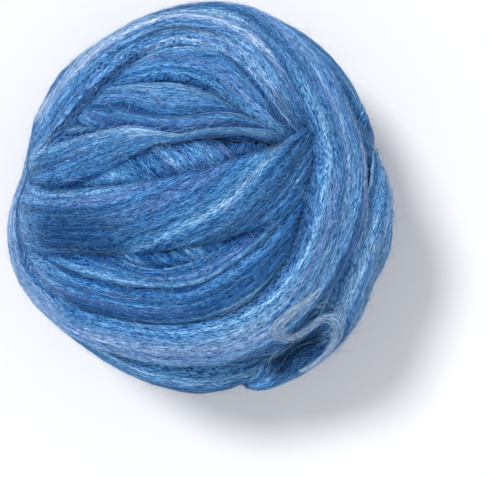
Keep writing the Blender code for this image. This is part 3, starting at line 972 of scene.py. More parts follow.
# How near to a turn's edges strands may start and may reach, and where one is left out, in half
# widths. Also how near they come to an open end, in rows.
START_ACROSS = 0.97
REACH_ACROSS = 0.985
LEAVE_ACROSS = 0.99
END_ROOM = 0.02
# The range of each kind's lengths about its own length, and of its girths about its own girth.
FIBRE_LENGTHS = (0.55, 1.3)
FUZZ_LENGTHS = (0.5, 1.4)
LOOSE_LENGTHS = (0.4, 1.4)
LOCK_LENGTHS = (0.6, 1.3)
FRAY_LENGTHS = (0.25, 1.0)
FUZZ_GIRTHS = (0.7, 1.3)
LOOSE_GIRTHS = (0.7, 1.5)
FRAY_GIRTH = 0.9
# The shape and the scale of the gamma spread of a fibre's girth and of its rise.
FIBRE_GIRTH = (5, 0.2)
FIBRE_RISE = (1.6, 0.09 * MM)
# How clear of the surface fibres lie, how far their ends sink in it, and how far they sink where
# another turn covers them. A fibre is kept when at least this share of it shows.
FIBRE_CLEAR = 0.04 * MM
FIBRE_END_SINK = 0.25 * MM
FIBRE_END_POWER = 6
FIBRE_COVERED_SINK = 1.2 * MM
FIBRE_SEEN = 0.7
# How much paler fibres are than their turn and how that varies, how unevenly they and their parts
# take the light, and the most that this may brighten one.
FIBRE_PALER = 0.02
FIBRE_SHADES = 0.16
FIBRE_LIGHT = 0.22
FIBRE_PART_LIGHT = 0.12
FIBRE_BRIGHTEST = 0.35
# How short hairs lie: how askew, how bent, how deep their roots are, the shape and the scale of
# the gamma spread of their rise and the power by which they rise, how much paler they are and how
# that varies, and the least share of one that shows.
FUZZ_SKEW = 0.45
FUZZ_BEND = 0.9 * MM
FUZZ_ROOT = 0.2 * MM
FUZZ_RISE = (2.0, 0.5)
FUZZ_POWER = 1.6
FUZZ_PALER = 0.20
FUZZ_SHADES = 0.12
FUZZ_SEEN = 0.6


def strand_template(rings):
    """The mesh of one straight strand: its rings' numbers, its sides' angles and its faces."""
    deselect()
    bpy.ops.mesh.primitive_cylinder_add(
        vertices=STRAND_SIDES, radius=1, depth=2, end_fill_type="NGON")
    piece = bpy.context.object
    bpy.ops.object.mode_set(mode="EDIT")
    bpy.ops.mesh.select_all(action="DESELECT")
    bpy.ops.object.mode_set(mode="OBJECT")
    mesh = piece.data
    for edge in mesh.edges:
        low, high = (mesh.vertices[v].co.z for v in edge.vertices)
        edge.select = abs(low - high) > 1
    bpy.ops.object.mode_set(mode="EDIT")
    bpy.ops.mesh.select_mode(type="EDGE")
    bpy.ops.mesh.subdivide(number_cuts=rings - 2)
    bpy.ops.mesh.select_all(action="SELECT")
    bpy.ops.mesh.quads_convert_to_tris()
    bpy.ops.object.mode_set(mode="OBJECT")
    points = np.array([vert.co for vert in mesh.vertices])
    faces = np.array([list(face.vertices) for face in mesh.polygons])
    ring = (points[:, 2] + 1) / 2 * (rings - 1)
    radius = np.linalg.norm(points[:, :2], axis=1)
    angle = np.arctan2(points[:, 1], points[:, 0])
    bpy.data.objects.remove(piece)
    bpy.data.meshes.remove(mesh)
    return np.round(ring).astype(int), radius, angle, faces


Strands = namedtuple("Strands", "lines colours thickness")


def gathered(groups):
    """Several groups of strands as one, without the empty ones."""
    return Strands(*(np.concatenate(fields) for fields in zip(*filter(None, groups))))


def strand_piece(name, strands, template):
    """One mesh of many strands, each a copy of the template bent along its own line."""
    ring, radius, angle, faces = template
    lines, colours, thickness = strands
    count = len(lines)
    ahead = unit(np.gradient(lines, axis=1))
    away = unit(lines - WINDING_OFF)
    side = unit(np.cross(ahead, away))
    up = np.cross(side, ahead)
    run = np.linspace(-1, 1, lines.shape[1])
    girth = thickness[:, None] / 2 * (1 - STRAND_TAPER * np.abs(run) ** STRAND_TAPER_POWER)
    middle = lines[:, ring]
    wide = (radius * np.cos(angle))[None, :, None] * girth[:, ring, None] * side[:, ring]
    high = (radius * np.sin(angle))[None, :, None] * girth[:, ring, None] * up[:, ring]
    points = middle + wide + STRAND_FLATNESS * high
    points[..., 2] = np.maximum(points[..., 2], STRAND_FLOOR)
    corners = (faces[None] + (np.arange(count) * len(ring))[:, None, None]).reshape(-1, 3)
    mesh = bpy.data.meshes.new(name)
    mesh.vertices.add(count * len(ring))
    mesh.vertices.foreach_set("co", points.reshape(-1))
    mesh.loops.add(corners.size)
    mesh.loops.foreach_set("vertex_index", corners.reshape(-1))
    mesh.polygons.add(len(corners))
    mesh.polygons.foreach_set("loop_start", np.arange(len(corners)) * 3)
    mesh.update(calc_edges=True)
    dye = mesh.color_attributes.new(COLOUR_NAME, "FLOAT_COLOR", "POINT")
    shown = np.ones((count, len(ring), 4))
    shown[..., :3] = colours[:, ring]
    dye.data.foreach_set("color", shown.reshape(-1))
    chart = mesh.uv_layers.new(name=MAP_NAME)
    length = np.linalg.norm(np.diff(lines, axis=1), axis=2).sum(1)
    number = np.arange(count)[:, None]
    along = run[ring][None, :] * length[:, None] / 2 + number * CHART_STEPS[0]
    aside = angle[None, :] * thickness[:, None] / 2 + number * CHART_STEPS[1]
    places = np.stack((along.reshape(-1), aside.reshape(-1)), axis=1)
    chart.data.foreach_set("uv", places[corners.reshape(-1)].reshape(-1))
    piece = bpy.data.objects.new(name, mesh)
    bpy.context.scene.collection.objects.link(piece)
    bpy.context.view_layer.objects.active = piece
    outward(piece)
    return piece


def spread_places(skin, count, rng):
    """Places on what shows of a turn, evenly over its area."""
    weight = skin.shown_widths().reshape(-1)
    if weight.sum() == 0:
        return np.zeros(0), np.zeros(0)
    picked = rng.choice(len(weight), size=count, p=weight / weight.sum())
    row, column = np.divmod(picked, len(skin.shares))
    across = skin.shares[column] + rng.uniform(-0.5, 0.5, count) * 2 / len(skin.shares)
    return np.clip(across, -START_ACROSS, START_ACROSS), row + rng.uniform(-0.5, 0.5, count)


def lying_strands(skin, count, sizes, dyes, rng):
    """Fibres that lie along a turn, a little askew, with their ends tucked in."""
    across, place = spread_places(skin, count, rng)
    count = len(across)
    if not count:
        return None
    length = sizes.fibre_length * rng.uniform(*FIBRE_LENGTHS, count)
    run = np.linspace(-0.5, 0.5, STRAND_RINGS)
    rows = skin.held(place[:, None] + run * (length / skin.wool.step)[:, None])
    half = skin.half_at(place)
    skew = rng.normal(0, sizes.fibre_skew, count) * length / half
    crimp = rng.normal(0, sizes.fibre_crimp, (count, STRAND_RINGS)) / half[:, None]
    twist = skin.wool.twisted(rows) - skin.wool.twisted(place)[:, None]
    aside = across[:, None] + twist + skew[:, None] * run + crimp
    keep = np.abs(aside).max(axis=1) < LEAVE_ACROSS
    aside = np.clip(aside, -REACH_ACROSS, REACH_ACROSS)
    seen = skin.shows(aside, rows)
    keep = keep & (seen.mean(axis=1) > FIBRE_SEEN)
    lines = skin.at(aside, rows)
    away = unit(lines - WINDING_OFF)
    rise = rng.gamma(*FIBRE_RISE, count)[:, None] * np.cos(run * math.pi) ** 0.5
    sink = np.where(seen, 0, FIBRE_COVERED_SINK) + FIBRE_END_SINK * (np.abs(run) * 2) ** FIBRE_END_POWER
    lines = lines + away * (rise - sink + FIBRE_CLEAR)[..., None]
    shift = rng.normal(0, FIBRE_SHADES, count)[:, None]
    colours = skin.colour(aside, rows, shift + FIBRE_PALER, dyes)
    uneven = rng.normal(0, FIBRE_LIGHT, (count, 1))
    uneven = uneven + rng.normal(0, FIBRE_PART_LIGHT, (count, STRAND_RINGS))
    colours = toned(colours, np.exp(np.minimum(uneven, FIBRE_BRIGHTEST)))
    thickness = sizes.fibre_thickness * rng.gamma(*FIBRE_GIRTH, count)
    return Strands(lines[keep], colours[keep], thickness[keep])


def fuzz_strands(skin, count, rings, sizes, dyes, rng):
    """Short fine hairs that leave a turn's surface at one end."""
    across, place = spread_places(skin, count, rng)
    count = len(across)
    if not count:
        return None
    length = sizes.fuzz_length * rng.uniform(*FUZZ_LENGTHS, count) * rng.choice((-1, 1), count)
    run = np.linspace(0, 1, rings)
    half = skin.half_at(place)
    rows = skin.held(place[:, None] + run * (length / skin.wool.step)[:, None])
    skew = rng.normal(0, FUZZ_SKEW, count) * np.abs(length) / half
    bend = rng.normal(0, FUZZ_BEND, count)[:, None] / half[:, None]
    aside = across[:, None] + run * skew[:, None] + bend * np.sin(run * math.pi)
    aside = np.clip(aside, -REACH_ACROSS, REACH_ACROSS)
    keep = skin.shows(aside, rows).mean(axis=1) > FUZZ_SEEN
    lines = skin.at(aside, rows)
    away = unit(lines - WINDING_OFF)
    shape, scale = FUZZ_RISE
    rise = rng.gamma(shape, scale * sizes.fuzz_rise, count)[:, None] * run**FUZZ_POWER
    lines = lines + away * (rise - FUZZ_ROOT * (1 - run))[..., None]
    colours = skin.colour(aside, rows, rng.normal(FUZZ_PALER, FUZZ_SHADES, count)[:, None], dyes)
    thickness = sizes.hair_thickness * rng.uniform(*FUZZ_GIRTHS, count)
    return Strands(lines[keep], colours[keep], thickness[keep])


def uppermost(directions):
    """Which turn lies uppermost in each direction, and the place across and along it."""
    index = np.zeros(len(directions), int)
    across = np.zeros(len(directions))
    place = np.zeros(len(directions))
    for i, route in enumerate(ROUTES):
        beyond = beside(directions, route)[0]
        inside = np.abs(beyond) < 1
        index[inside] = i
        across[inside] = beyond[inside]
        place[inside] = np.argmax(directions[inside] @ route.path.T, axis=1)
    return index, across, place


def wandering(start, heading, length, turned):
    """Directions along curly lines over the ball, which turn by these angles at each step."""
    ways = [start]
    step = (length / (STRAND_RINGS - 1) / WINDING_RADIUS)[:, None]
    for angle in turned.T[:, :, None]:
        heading = heading * np.cos(angle) + np.cross(ways[-1], heading) * np.sin(angle)
        ways.append(unit(ways[-1] + step * heading))
        heading = unit(heading - ways[-1] * (heading * ways[-1]).sum(1, keepdims=True))
    return np.stack(ways, axis=1)


# How a kind of loose hair lies: how far from the run of its turn it heads and how much it turns
# on at each step, in radians, how high it stands, how much paler it is than its turn, and how
# near it comes to the pale dye.
Loose = namedtuple("Loose", "spread curl rise paler bleach")
FRIZZ = Loose(0.50, 0.20, 0.12 * MM, 0.12, 0.16)
STRAYS = Loose(0.90, 0.14, 0.40 * MM, 0.16, 0.20)
# More of them lie on top than below: this far their places lean upwards. Also the shape of the
# gamma spread of their rise and the power that shapes their arch, how clear they lie, how their
# shades vary, and the lowest that one may come.
LOOSE_LEAN = 0.25
LOOSE_RISE = 2.0
LOOSE_ARCH = 0.7
LOOSE_CLEAR = 0.12 * MM
LOOSE_SHADES = 0.14
LOOSE_LOWEST = 1 * MM


def loose_strands(kind, count, length, sizes, dyes, rng):
    """Loose hairs over the turns, each from a place of its own."""
    start = unit(rng.normal(0, 1, (count, 3)) + np.array((0, 0, LOOSE_LEAN)))
    index, across, place = uppermost(start)
    along = np.array([ROUTES[i].along[int(p)] for i, p in zip(index, place)])
    along = unit(along - start * (along * start).sum(1, keepdims=True))
    headed = rng.normal(0, kind.spread, count)[:, None]
    heading = along * np.cos(headed) + np.cross(start, along) * np.sin(headed)
    bend = rng.normal(0, kind.curl, (count, 1))
    bend = bend + rng.normal(0, kind.curl, (count, STRAND_RINGS - 1))
    ways = wandering(start, heading, length * rng.uniform(*LOOSE_LENGTHS, count), bend)
    heights = surface(ways.reshape(-1, 3), ROUTES).reshape(ways.shape[:2])
    run = np.linspace(0, 1, STRAND_RINGS)
    rise = rng.gamma(LOOSE_RISE, kind.rise, count)[:, None] * np.sin(run * math.pi) ** LOOSE_ARCH
    lines = placed(ways, heights + LOOSE_CLEAR + rise)
    colours = np.zeros((count, STRAND_RINGS, 3))
    shift = rng.normal(kind.paler, LOOSE_SHADES, count)[:, None]
    spread = np.ones(STRAND_RINGS)
    for i, route in enumerate(ROUTES):
        own = index == i
        if own.any():
            colours[own] = SKINS[route.name].colour(
                across[own, None] * spread, place[own, None] * spread, shift[own], dyes)
    colours += kind.bleach * (rgb(dyes, "light") - colours)
    thickness = sizes.hair_thickness * rng.uniform(*LOOSE_GIRTHS, count)
    keep = lines[..., 2].min(axis=1) > LOOSE_LOWEST
    return Strands(lines[keep], colours[keep], thickness[keep])


# ---- The loose end ----

TAIL_COLUMNS = 61
# Where the loose end thins towards the turn beside it and where it starts, and how thin it gets.
TAIL_FEATHER = (0.25, 1.0, 0.75)
TAIL_START = (0.16, 0.45)
# The least share of its width and the least height over the ball that it keeps at its ends.
TAIL_NARROWEST = 0.25
TAIL_LEAST = 0.3 * MM
# How much lower its ridges are at its edges, and how far it lies clear of the ball.
TAIL_EDGE_LOSS = 0.7
TAIL_UNDER = 0.2 * MM
# Where across it the loose end leaves its stiff bridge and follows the turn beside it.
TAIL_CLOSER = (0.35, 0.85)
# The hollow that its fold leaves beside the last turn: the stop and the place across of its
# middle, its reach each way, and the share of the thickness that is gone there.
HOLLOW_STOP, HOLLOW_ACROSS = 5.35, -0.72
HOLLOW_REACH = (0.55, 0.34)
HOLLOW_SHARE = 0.9
# The fibres and the short hairs along it.
TAIL_FIBRES = 1000
TAIL_FUZZ = 900


class TailSkin(Skin):
    """The upper surface of the loose end, which lies on the ball."""

    def __init__(self):
        route = Route("tail", [knot(stop) for stop in TAIL_STOPS], closed=False)
        across, place = self.follow(route, TAIL_COLUMNS, TAIL_SEED)
        share = place / (self.rings - 1)
        blunt = np.sqrt(1 - np.abs(2 * share - 1) ** TAIL_END_POWER)
        blunt = np.maximum(blunt, TAIL_NARROWEST)
        flat = self.fan(across * route.half[:, None] * blunt / WINDING_RADIUS)
        closer = smooth(-across, *TAIL_CLOSER)
        lying = bridged(flat, ROUTES).reshape(across.shape)
        self.bed = lying + (surface(flat, ROUTES).reshape(across.shape) - lying) * closer + TAIL_GAP
        low, high, thinner = TAIL_FEATHER
        reach, least = TAIL_START
        thick = route.lift[:, None] * crowned(across) * blunt
        thick *= 1 - thinner * smooth(-across, low, high)
        thick *= least + (1 - least) * smooth(share, 0, reach)
        off = ((self.wool.stop(place) - HOLLOW_STOP) / HOLLOW_REACH[0])**2
        off = off + ((across - HOLLOW_ACROSS) / HOLLOW_REACH[1])**2
        thick *= 1 - HOLLOW_SHARE * np.exp(-off)
        ridges = self.wool.relief(across, place) * (1 - TAIL_EDGE_LOSS * np.abs(across) ** 4)
        self.heights = self.bed + np.maximum(thick + ridges * blunt, TAIL_LEAST)
        self.shown = np.ones(across.shape, bool)
        self.light = np.ones(across.shape)
        self.points = placed(self.ways, self.heights)

    def underside(self):
        """Rows of points on the underside, just clear of the ball."""
        columns = self.under_columns()
        return placed(self.ways[:, columns], self.bed[:, columns] - TAIL_UNDER)


# How one end of the loose end frays: which end, as the way out along it, how far its fibres reach
# and how many there are.
Fray = namedtuple("Fray", "way_out reach fibres")
FRAYS = (Fray(-1, 15 * MM, 220), Fray(1, 7 * MM, 220))
# How a fray's fibres lie: how near to the edges they start, in half widths, how many rows inside
# the end they are rooted and the row that they head away from, how they fan out, stray and wave,
# the share of the thickness there that they drop by, and how pale they are and how that varies.
FRAY_ACROSS = 0.95
FRAY_ROOTS = (0.4, 2.6)
FRAY_INNER = 1.5
FRAY_FAN = 0.5
FRAY_STRAY = 0.18
FRAY_WAVES = 5
FRAY_WAVE = 0.5 * MM
FRAY_DROP = (0.2, 1.0)
FRAY_PALER = 0.06
FRAY_SHADES = 0.13


def end_strands(skin, fray, sizes, dyes, rng):
    """Fibres that run out of one end of the loose end and part there."""
    count = fray.fibres
    row = float(skin.rings - 1 if fray.way_out > 0 else 0)
    across = rng.uniform(-FRAY_ACROSS, FRAY_ACROSS, count)
    root = skin.at(across, row - fray.way_out * rng.uniform(*FRAY_ROOTS, count))
    near = skin.at(across, np.full(count, row))
    inner = skin.at(across, np.full(count, row - fray.way_out * FRAY_INNER))
    away = unit(near - WINDING_OFF)
    ahead = unit(near - inner)
    side = np.cross(ahead, away)
    length = fray.reach * rng.uniform(*FRAY_LENGTHS, count)
    fan = FRAY_FAN * across + rng.normal(0, FRAY_STRAY, count)
    run = np.linspace(0, 1, STRAND_RINGS)[None, :, None]
    stretch = np.linalg.norm(near - root, axis=1) + length
    way = unit(ahead + side * fan[:, None] * fray.way_out)
    drop = rng.uniform(*FRAY_DROP, count) * skin.route.lift[int(row)]
    lines = root[:, None] + way[:, None] * stretch[:, None, None] * run
    lines = lines - away[:, None] * (drop[:, None, None] * run**2)
    wave = np.sin(run * FRAY_WAVES + rng.uniform(0, 6, count)[:, None, None])
    lines = lines + side[:, None] * wave * FRAY_WAVE * run
    rows = np.full((count, STRAND_RINGS), row)
    shift = rng.normal(FRAY_PALER, FRAY_SHADES, count)[:, None]
    colours = skin.wool.colour(across[:, None] * np.ones(STRAND_RINGS), rows, shift, dyes)
    return Strands(lines, colours, np.full(count, FRAY_GIRTH * sizes.fibre_thickness))


# A lock of fibres that lies loose over the winding: its number of fibres, their length in
# millimetres and its stops, whose lift is that of the lock's crown.
Lock = namedtuple("Lock", "name fibres length stops")
LOCKS = (
    Lock("curl", 640, 15, (
        Stop(-37, 49, 2, 4.6), Stop(-48, 47, 5, 5.4), Stop(-55, 47, 6, 5.8), Stop(-59, 48, 6, 5.8),
        Stop(-59.5, 52, 6, 5.2), Stop(-57, 58, 6, 4.2), Stop(-53, 60, 6, 3.8),
        Stop(-48, 60, 6, 4.2), Stop(-44, 60, 6, 5.4), Stop(-42, 62, 6, 7.0), Stop(-42, 66, 6, 8.8),
        Stop(-45, 69, 7, 10.2), Stop(-48, 72, 7, 10.8), Stop(-51, 74, 6, 10.8),
        Stop(-56, 76, 5, 10.6), Stop(-60, 76, 3, 9.6))),
    Lock("outer_curl", 60, 14, (
        Stop(-54, 50, 2, 4.6), Stop(-49, 49, 5, 5.4), Stop(-42, 52, 6, 5.2), Stop(-38, 59, 6, 4.8),
        Stop(-37, 64, 5, 7.2), Stop(-38, 69, 4, 9.6), Stop(-41, 75, 2, 10.2))),
    Lock("wisp", 12, 12, (
        Stop(-69, 76, 1, 4.0), Stop(-66, 65, 2, 3.6), Stop(-62, 61, 2, 3.8),
        Stop(-58, 60, 1, 4.2))),
)
LOCK_THICK = 1.6 * MM
LOCK_CLEAR = 0.3 * MM
LOCK_FINENESS = 0.6
LOCK_SIDES = 12
# A lock of more fibres than this has a slim body inside it, this broad and this much darker.
LOCK_NEEDS_BODY = 100
LOCK_BODY = 0.3
LOCK_BODY_SHADE = -0.2
# How a lock's fibres lie: how far out at most, in half widths, how far they stray from that, how
# far they wind on at each row, in radians, and how their shades vary.
LOCK_REACH = 1.1
LOCK_SPREAD = 0.24
LOCK_WIND = 0.12
LOCK_SHADES = 0.14


class LockWay:
    """Where a lock lies: places on it, by their place along and across it and their height."""

    def __init__(self, lock, seed):
        self.route = Route(lock.name, [knot(stop) for stop in lock.stops], closed=False)
        self.wool = Wool(self.route, seed)
        self.rings = len(self.route.path)

    def at(self, across, height, place):
        """Points at places on the lock, at a height from -1 at its foot to 1 at its crown."""
        rows = np.arange(self.rings)
        held = np.clip(place, 0, self.rings - 1)

        def along(values):
            return np.interp(held, rows, values)

        middle = unit(np.stack([along(self.route.path[:, c]) for c in range(3)], axis=-1))
        side = np.stack([along(self.route.side[:, c]) for c in range(3)], axis=-1)
        ways = unit(middle + side * (across * along(self.route.half) / WINDING_RADIUS)[..., None])
        heights = along(self.route.lift) - LOCK_THICK * (0.5 - 0.5 * height)
        floor = surface(ways.reshape(-1, 3), ROUTES).reshape(heights.shape) + LOCK_CLEAR
        return placed(ways, np.maximum(heights, floor))


def lock_strands(way, lock, sizes, dyes, rng):
    """The fibres of a lock, which wind a little round one another."""
    run = np.linspace(-0.5, 0.5, STRAND_RINGS)
    length = lock.length * MM * rng.uniform(*LOCK_LENGTHS, lock.fibres)
    place = rng.uniform(0, way.rings - 1, lock.fibres)
    place = place[:, None] + run * (length / way.wool.step)[:, None]
    place = np.clip(place, 0, way.rings - 1)
    angle = rng.uniform(0, 2 * math.pi, lock.fibres)[:, None] + LOCK_WIND * place
    reach = np.sqrt(rng.uniform(0, 1, lock.fibres))[:, None] * LOCK_REACH
    across = reach * np.cos(angle) + rng.normal(0, LOCK_SPREAD, place.shape)
    lines = way.at(across, reach * np.sin(angle), place)
    shift = rng.normal(0.0, LOCK_SHADES, lock.fibres)[:, None]
    colours = way.wool.colour(across, place, shift, dyes)
    thickness = LOCK_FINENESS * sizes.fibre_thickness * rng.gamma(*FIBRE_GIRTH, lock.fibres)
    return Strands(lines, colours, thickness)


def lock_body(way, name, dyes):
    """The slim closed body inside a lock."""
    angle = np.arange(LOCK_SIDES) * 2 * math.pi / LOCK_SIDES
    grid = np.ones((way.rings, LOCK_SIDES))
    rows = np.arange(way.rings)
    place = rows[:, None] * grid
    across = LOCK_BODY * np.cos(angle) * grid
    points = way.at(across, LOCK_BODY * np.sin(angle) * grid, place)
    colours = way.wool.colour(across, place, LOCK_BODY_SHADE, dyes)
    around = np.arange(LOCK_SIDES + 1) * MM
    return band(name, points, colours, rows * way.wool.step, around)


# ---- Materials ----

# The wool's own fine grain: how long and how broad its marks are and how far they turn from the
# run of the fibres, in degrees.
Mark = namedtuple("Mark", "length breadth turn")
MARKS = (
    Mark(9 * MM, 0.5 * MM, 0), Mark(5 * MM, 0.5 * MM, 9), Mark(4 * MM, 0.5 * MM, -12),
    Mark(3.2 * MM, 0.4 * MM, 24), Mark(3.2 * MM, 0.4 * MM, -28))
# How far from its mean the grain runs to its darkest and its palest, how much light the wool gets
# there, and how deep the grain's grooves are.
GRAIN_SPREAD = 0.28
GRAIN_DARK = 0.25
GRAIN_PALE = 1.90
GRAIN_DEPTH = 0.2 * MM


def fill(node, values):
    """Set several of a node's inputs."""
    for socket, value in values.items():
        node.inputs[socket].default_value = value


def new_material(name, values):
    """A material whose surface shader has these inputs, and that shader."""
    material = bpy.data.materials.new(name)
    material.use_nodes = True
    shader = material.node_tree.nodes["Principled BSDF"]
    fill(shader, values)
    return material, shader


def wool_material(name, sheen, bump):
    """Combed wool: dyed along its fibres, matt, with a grain of fine frizzy fibres."""
    material, shader = new_material(name, {
        "Roughness": 0.85, "Specular IOR Level": 0.12, "Sheen Weight": sheen,
        "Sheen Roughness": 0.25, "Sheen Tint": (0.48, 0.74, 1.0, 1)})
    nodes = material.node_tree.nodes
    links = material.node_tree.links
    dye = nodes.new("ShaderNodeAttribute")
    dye.attribute_name = COLOUR_NAME
    chart = nodes.new("ShaderNodeUVMap")
    chart.uv_map = MAP_NAME
    total = None
    for mark in MARKS:
        turned = nodes.new("ShaderNodeMapping")
        turned.vector_type = "TEXTURE"
        fill(turned, {
            "Rotation": (0, 0, math.radians(mark.turn)),
            "Scale": (mark.length, mark.breadth, 1)})
        noise = nodes.new("ShaderNodeTexNoise")
        fill(noise, {"Scale": 1.0, "Detail": 1.0})
        links.new(chart.outputs["UV"], turned.inputs["Vector"])
        links.new(turned.outputs["Vector"], noise.inputs["Vector"])
        if total is None:
            total = noise.outputs["Fac"]
            continue
        both = nodes.new("ShaderNodeMath")
        both.operation = "ADD"
        links.new(total, both.inputs[0])
        links.new(noise.outputs["Fac"], both.inputs[1])
        total = both.outputs["Value"]
    middle = len(MARKS) / 2
    shades = nodes.new("ShaderNodeMapRange")
    fill(shades, {
        "From Min": middle - GRAIN_SPREAD, "From Max": middle + GRAIN_SPREAD,
        "To Min": GRAIN_DARK, "To Max": GRAIN_PALE})
    light = nodes.new("ShaderNodeCombineXYZ")
    for axis, power in enumerate(TONE_POWER):
        raised = nodes.new("ShaderNodeMath")
        raised.operation = "POWER"
        raised.inputs[1].default_value = power
        links.new(shades.outputs["Result"], raised.inputs[0])
        links.new(raised.outputs["Value"], light.inputs[axis])
    tint = nodes.new("ShaderNodeVectorMath")
    tint.operation = "MULTIPLY"
    grooves = nodes.new("ShaderNodeBump")
    fill(grooves, {"Strength": bump, "Distance": GRAIN_DEPTH})
    links.new(total, shades.inputs["Value"])
    links.new(dye.outputs["Color"], tint.inputs[0])
    links.new(light.outputs["Vector"], tint.inputs[1])
    links.new(tint.outputs["Vector"], shader.inputs["Base Color"])
    links.new(total, grooves.inputs["Height"])
    links.new(grooves.outputs["Normal"], shader.inputs["Normal"])
    return material


def floor_material(colour):
    """The stage's plain matt floor."""
    return new_material("pale_floor", {
        "Base Color": (*colour, 1), "Roughness": 0.9, "Specular IOR Level": 0.2})[0]


# ---- Settings ----

def dye(red, green, blue):
    """A colour given as on screen, from 0 to 255, in the light's own scale."""
    def linear(value):
        share = value / 255
        return share / 12.92 if share <= 0.04045 else ((share + 0.055) / 1.055) ** 2.4
    return (linear(red), linear(green), linear(blue))


def dye_property(name, description, colour):
    """One dyed colour that a user may change."""
    return FloatVectorProperty(
        name=name, description=description, subtype="COLOR", size=3, min=0, max=1, default=colour)


class RovingDyes(bpy.types.PropertyGroup):
    """The colours in the roving, and the painted shadow."""

    navy: dye_property("Navy", "The darkest threads", dye(9, 55, 107))
    deep: dye_property("Deep blue", "Dark blue threads", dye(28, 84, 146))
    middle: dye_property("Blue", "The main blue", dye(54, 116, 181))
    bright: dye_property("Bright blue", "Clear bright threads", dye(78, 147, 209))
    light: dye_property("Light blue", "Pale threads", dye(126, 181, 226))
    white: dye_property("White", "Nearly white threads", dye(178, 212, 243))
    lavender: dye_property("Lavender", "Threads with a violet cast", dye(106, 130, 194))
    slate: dye_property("Slate", "Dull grey-blue threads", dye(54, 106, 152))
    # Painted shadow: the colour streaked on where wool lies in shade, in hollows and creases.
    shadow: dye_property("Shadow", "Wool deep in a hollow", dye(6, 36, 76))


class RovingSizes(bpy.types.PropertyGroup):
    """The sizes and numbers of the fine fibres."""

    fibre_length: FloatProperty(
        name="Fibre length", description="Length of a fibre that lies along a turn",
        default=0.016, min=0.002, unit="LENGTH")
    fibre_thickness: FloatProperty(
        name="Fibre thickness", description="Mean width of a lying fibre",
        default=0.00024, min=0.00005, unit="LENGTH", precision=5)
    fibre_skew: FloatProperty(
        name="Fibre skew", description="How far fibres turn from the run of their turn",
        default=0.20, min=0)
    fibre_crimp: FloatProperty(
        name="Fibre crimp", description="How far a fibre waves to each side",
        default=0.00022, min=0, unit="LENGTH", precision=5)
    fibre_count: IntProperty(
        name="Fibres", description="Number of fibres that lie along the turns",
        default=12500, min=0)
    fuzz_length: FloatProperty(
        name="Fuzz length", description="Length of a short hair that leaves the surface",
        default=0.014, min=0.001, unit="LENGTH")
    fuzz_rise: FloatProperty(
        name="Fuzz rise", description="How far a short hair rises at its free end",
        default=0.0018, min=0, unit="LENGTH", precision=5)
    fuzz_count: IntProperty(
        name="Fuzz", description="Number of short hairs that leave the surface",
        default=6500, min=0)
    hair_thickness: FloatProperty(
        name="Hair thickness", description="Width of a stray hair",
        default=0.00013, min=0.00002, unit="LENGTH", precision=5)
    frizz_length: FloatProperty(
        name="Frizz length", description="Length of a curly hair that lies over the turns",
        default=0.009, min=0.001, unit="LENGTH")
    frizz_count: IntProperty(
        name="Frizz", description="Number of curly hairs that lie over the turns",
        default=11500, min=0)
    stray_length: FloatProperty(
        name="Stray length", description="Length of a long loose hair that crosses the turns",
        default=0.030, min=0.005, unit="LENGTH")
    stray_count: IntProperty(
        name="Strays", description="Number of long loose hairs that cross the turns",
        default=150, min=0)


class RovingStage(bpy.types.PropertyGroup):
    """The floor, the light and the camera."""

    floor_colour: FloatVectorProperty(
        name="Floor", description="Colour of the floor", subtype="COLOR", size=3, min=0, max=1,
        default=(0.90, 0.90, 0.92))
    sky_strength: FloatProperty(
        name="Surrounding light", description="Strength of the soft light all round",
        default=0.68, min=0)
    key_strength: FloatProperty(
        name="Key light", description="Strength of the broad light from the upper left",
        default=1.82, min=0)
    key_softness: FloatProperty(
        name="Key softness", description="How wide the key light looks from the ball",
        default=math.radians(14), min=0, subtype="ANGLE")
    camera_height: FloatProperty(
        name="Camera height", description="Height of the camera over the ball's middle",
        default=0.900, min=0.2, unit="LENGTH")


# ---- Operators ----

# The skins of the turns that are laid, by name, for the fibres that lie on them.
SKINS = {}
# How many pieces the lying fibres and the frizz are dealt out over, so that none is too heavy.
FIBRE_PIECES = 3
FRIZZ_PIECES = 2

# The picture's size and the middle of the ball in it, in pixels, and how wide a pixel is at the
# height of the ball's middle. From them, how wide the view is there and where the camera stands
# over the floor.
PICTURE_WIDTH = 488
PICTURE_HEIGHT = 477
BALL_MIDDLE = (199.5, 197.0)
PIXEL = 0.49 * MM
VIEW_WIDTH = PICTURE_WIDTH * PIXEL
CAMERA_OFF = (
    (PICTURE_WIDTH / 2 - BALL_MIDDLE[0]) * PIXEL,
    (BALL_MIDDLE[1] - PICTURE_HEIGHT / 2) * PIXEL)
# The width of the camera's sensor in millimetres, and how near and how far it sees.
SENSOR_WIDTH = 36
NEAREST, FARTHEST = 0.01, 20
FLOOR_SIZE = 8
# Where the key light hangs, and where its light comes from: its bearing from +X and its height
# over the horizon, in degrees.
KEY_PLACE = (-0.6, 0.6, 1.5)
KEY_BEARING = 138
KEY_RISE = 61


def deal_out(name, strands, count, template, wool):
    """Make strands into this many pieces, each with every so many-th of them."""
    for i in range(count):
        part = Strands(*(field[i::count] for field in strands))
        dressed(strand_piece(f"{name}_{i + 1}", part, template), wool, "ball")


class ROVING_OT_lay_turns(bpy.types.Operator):
    """Lay every turn of the winding as a closed band, first the hidden ones"""

    bl_idname = "roving.lay_turns"
    bl_label = "Lay turns"

    def execute(self, context):
        dyes = context.scene.roving_dyes
        wool = wool_material("combed_wool", sheen=0.40, bump=0.6)
        first = []
        for i, route in enumerate(ROUTES):
            named = i >= FIRST_TURNS
            skin = Skin(i, TOP_COLUMNS if named else FIRST_COLUMNS)
            SKINS[route.name] = skin
            parts = turn_band(skin, dyes)
            if not parts:
                continue
            if named:
                dressed(joined(route.name, parts), wool, "ball")
            else:
                first.extend(parts)
        if first:
            dressed(joined("first_turns", first), wool, "ball")
        return {"FINISHED"}


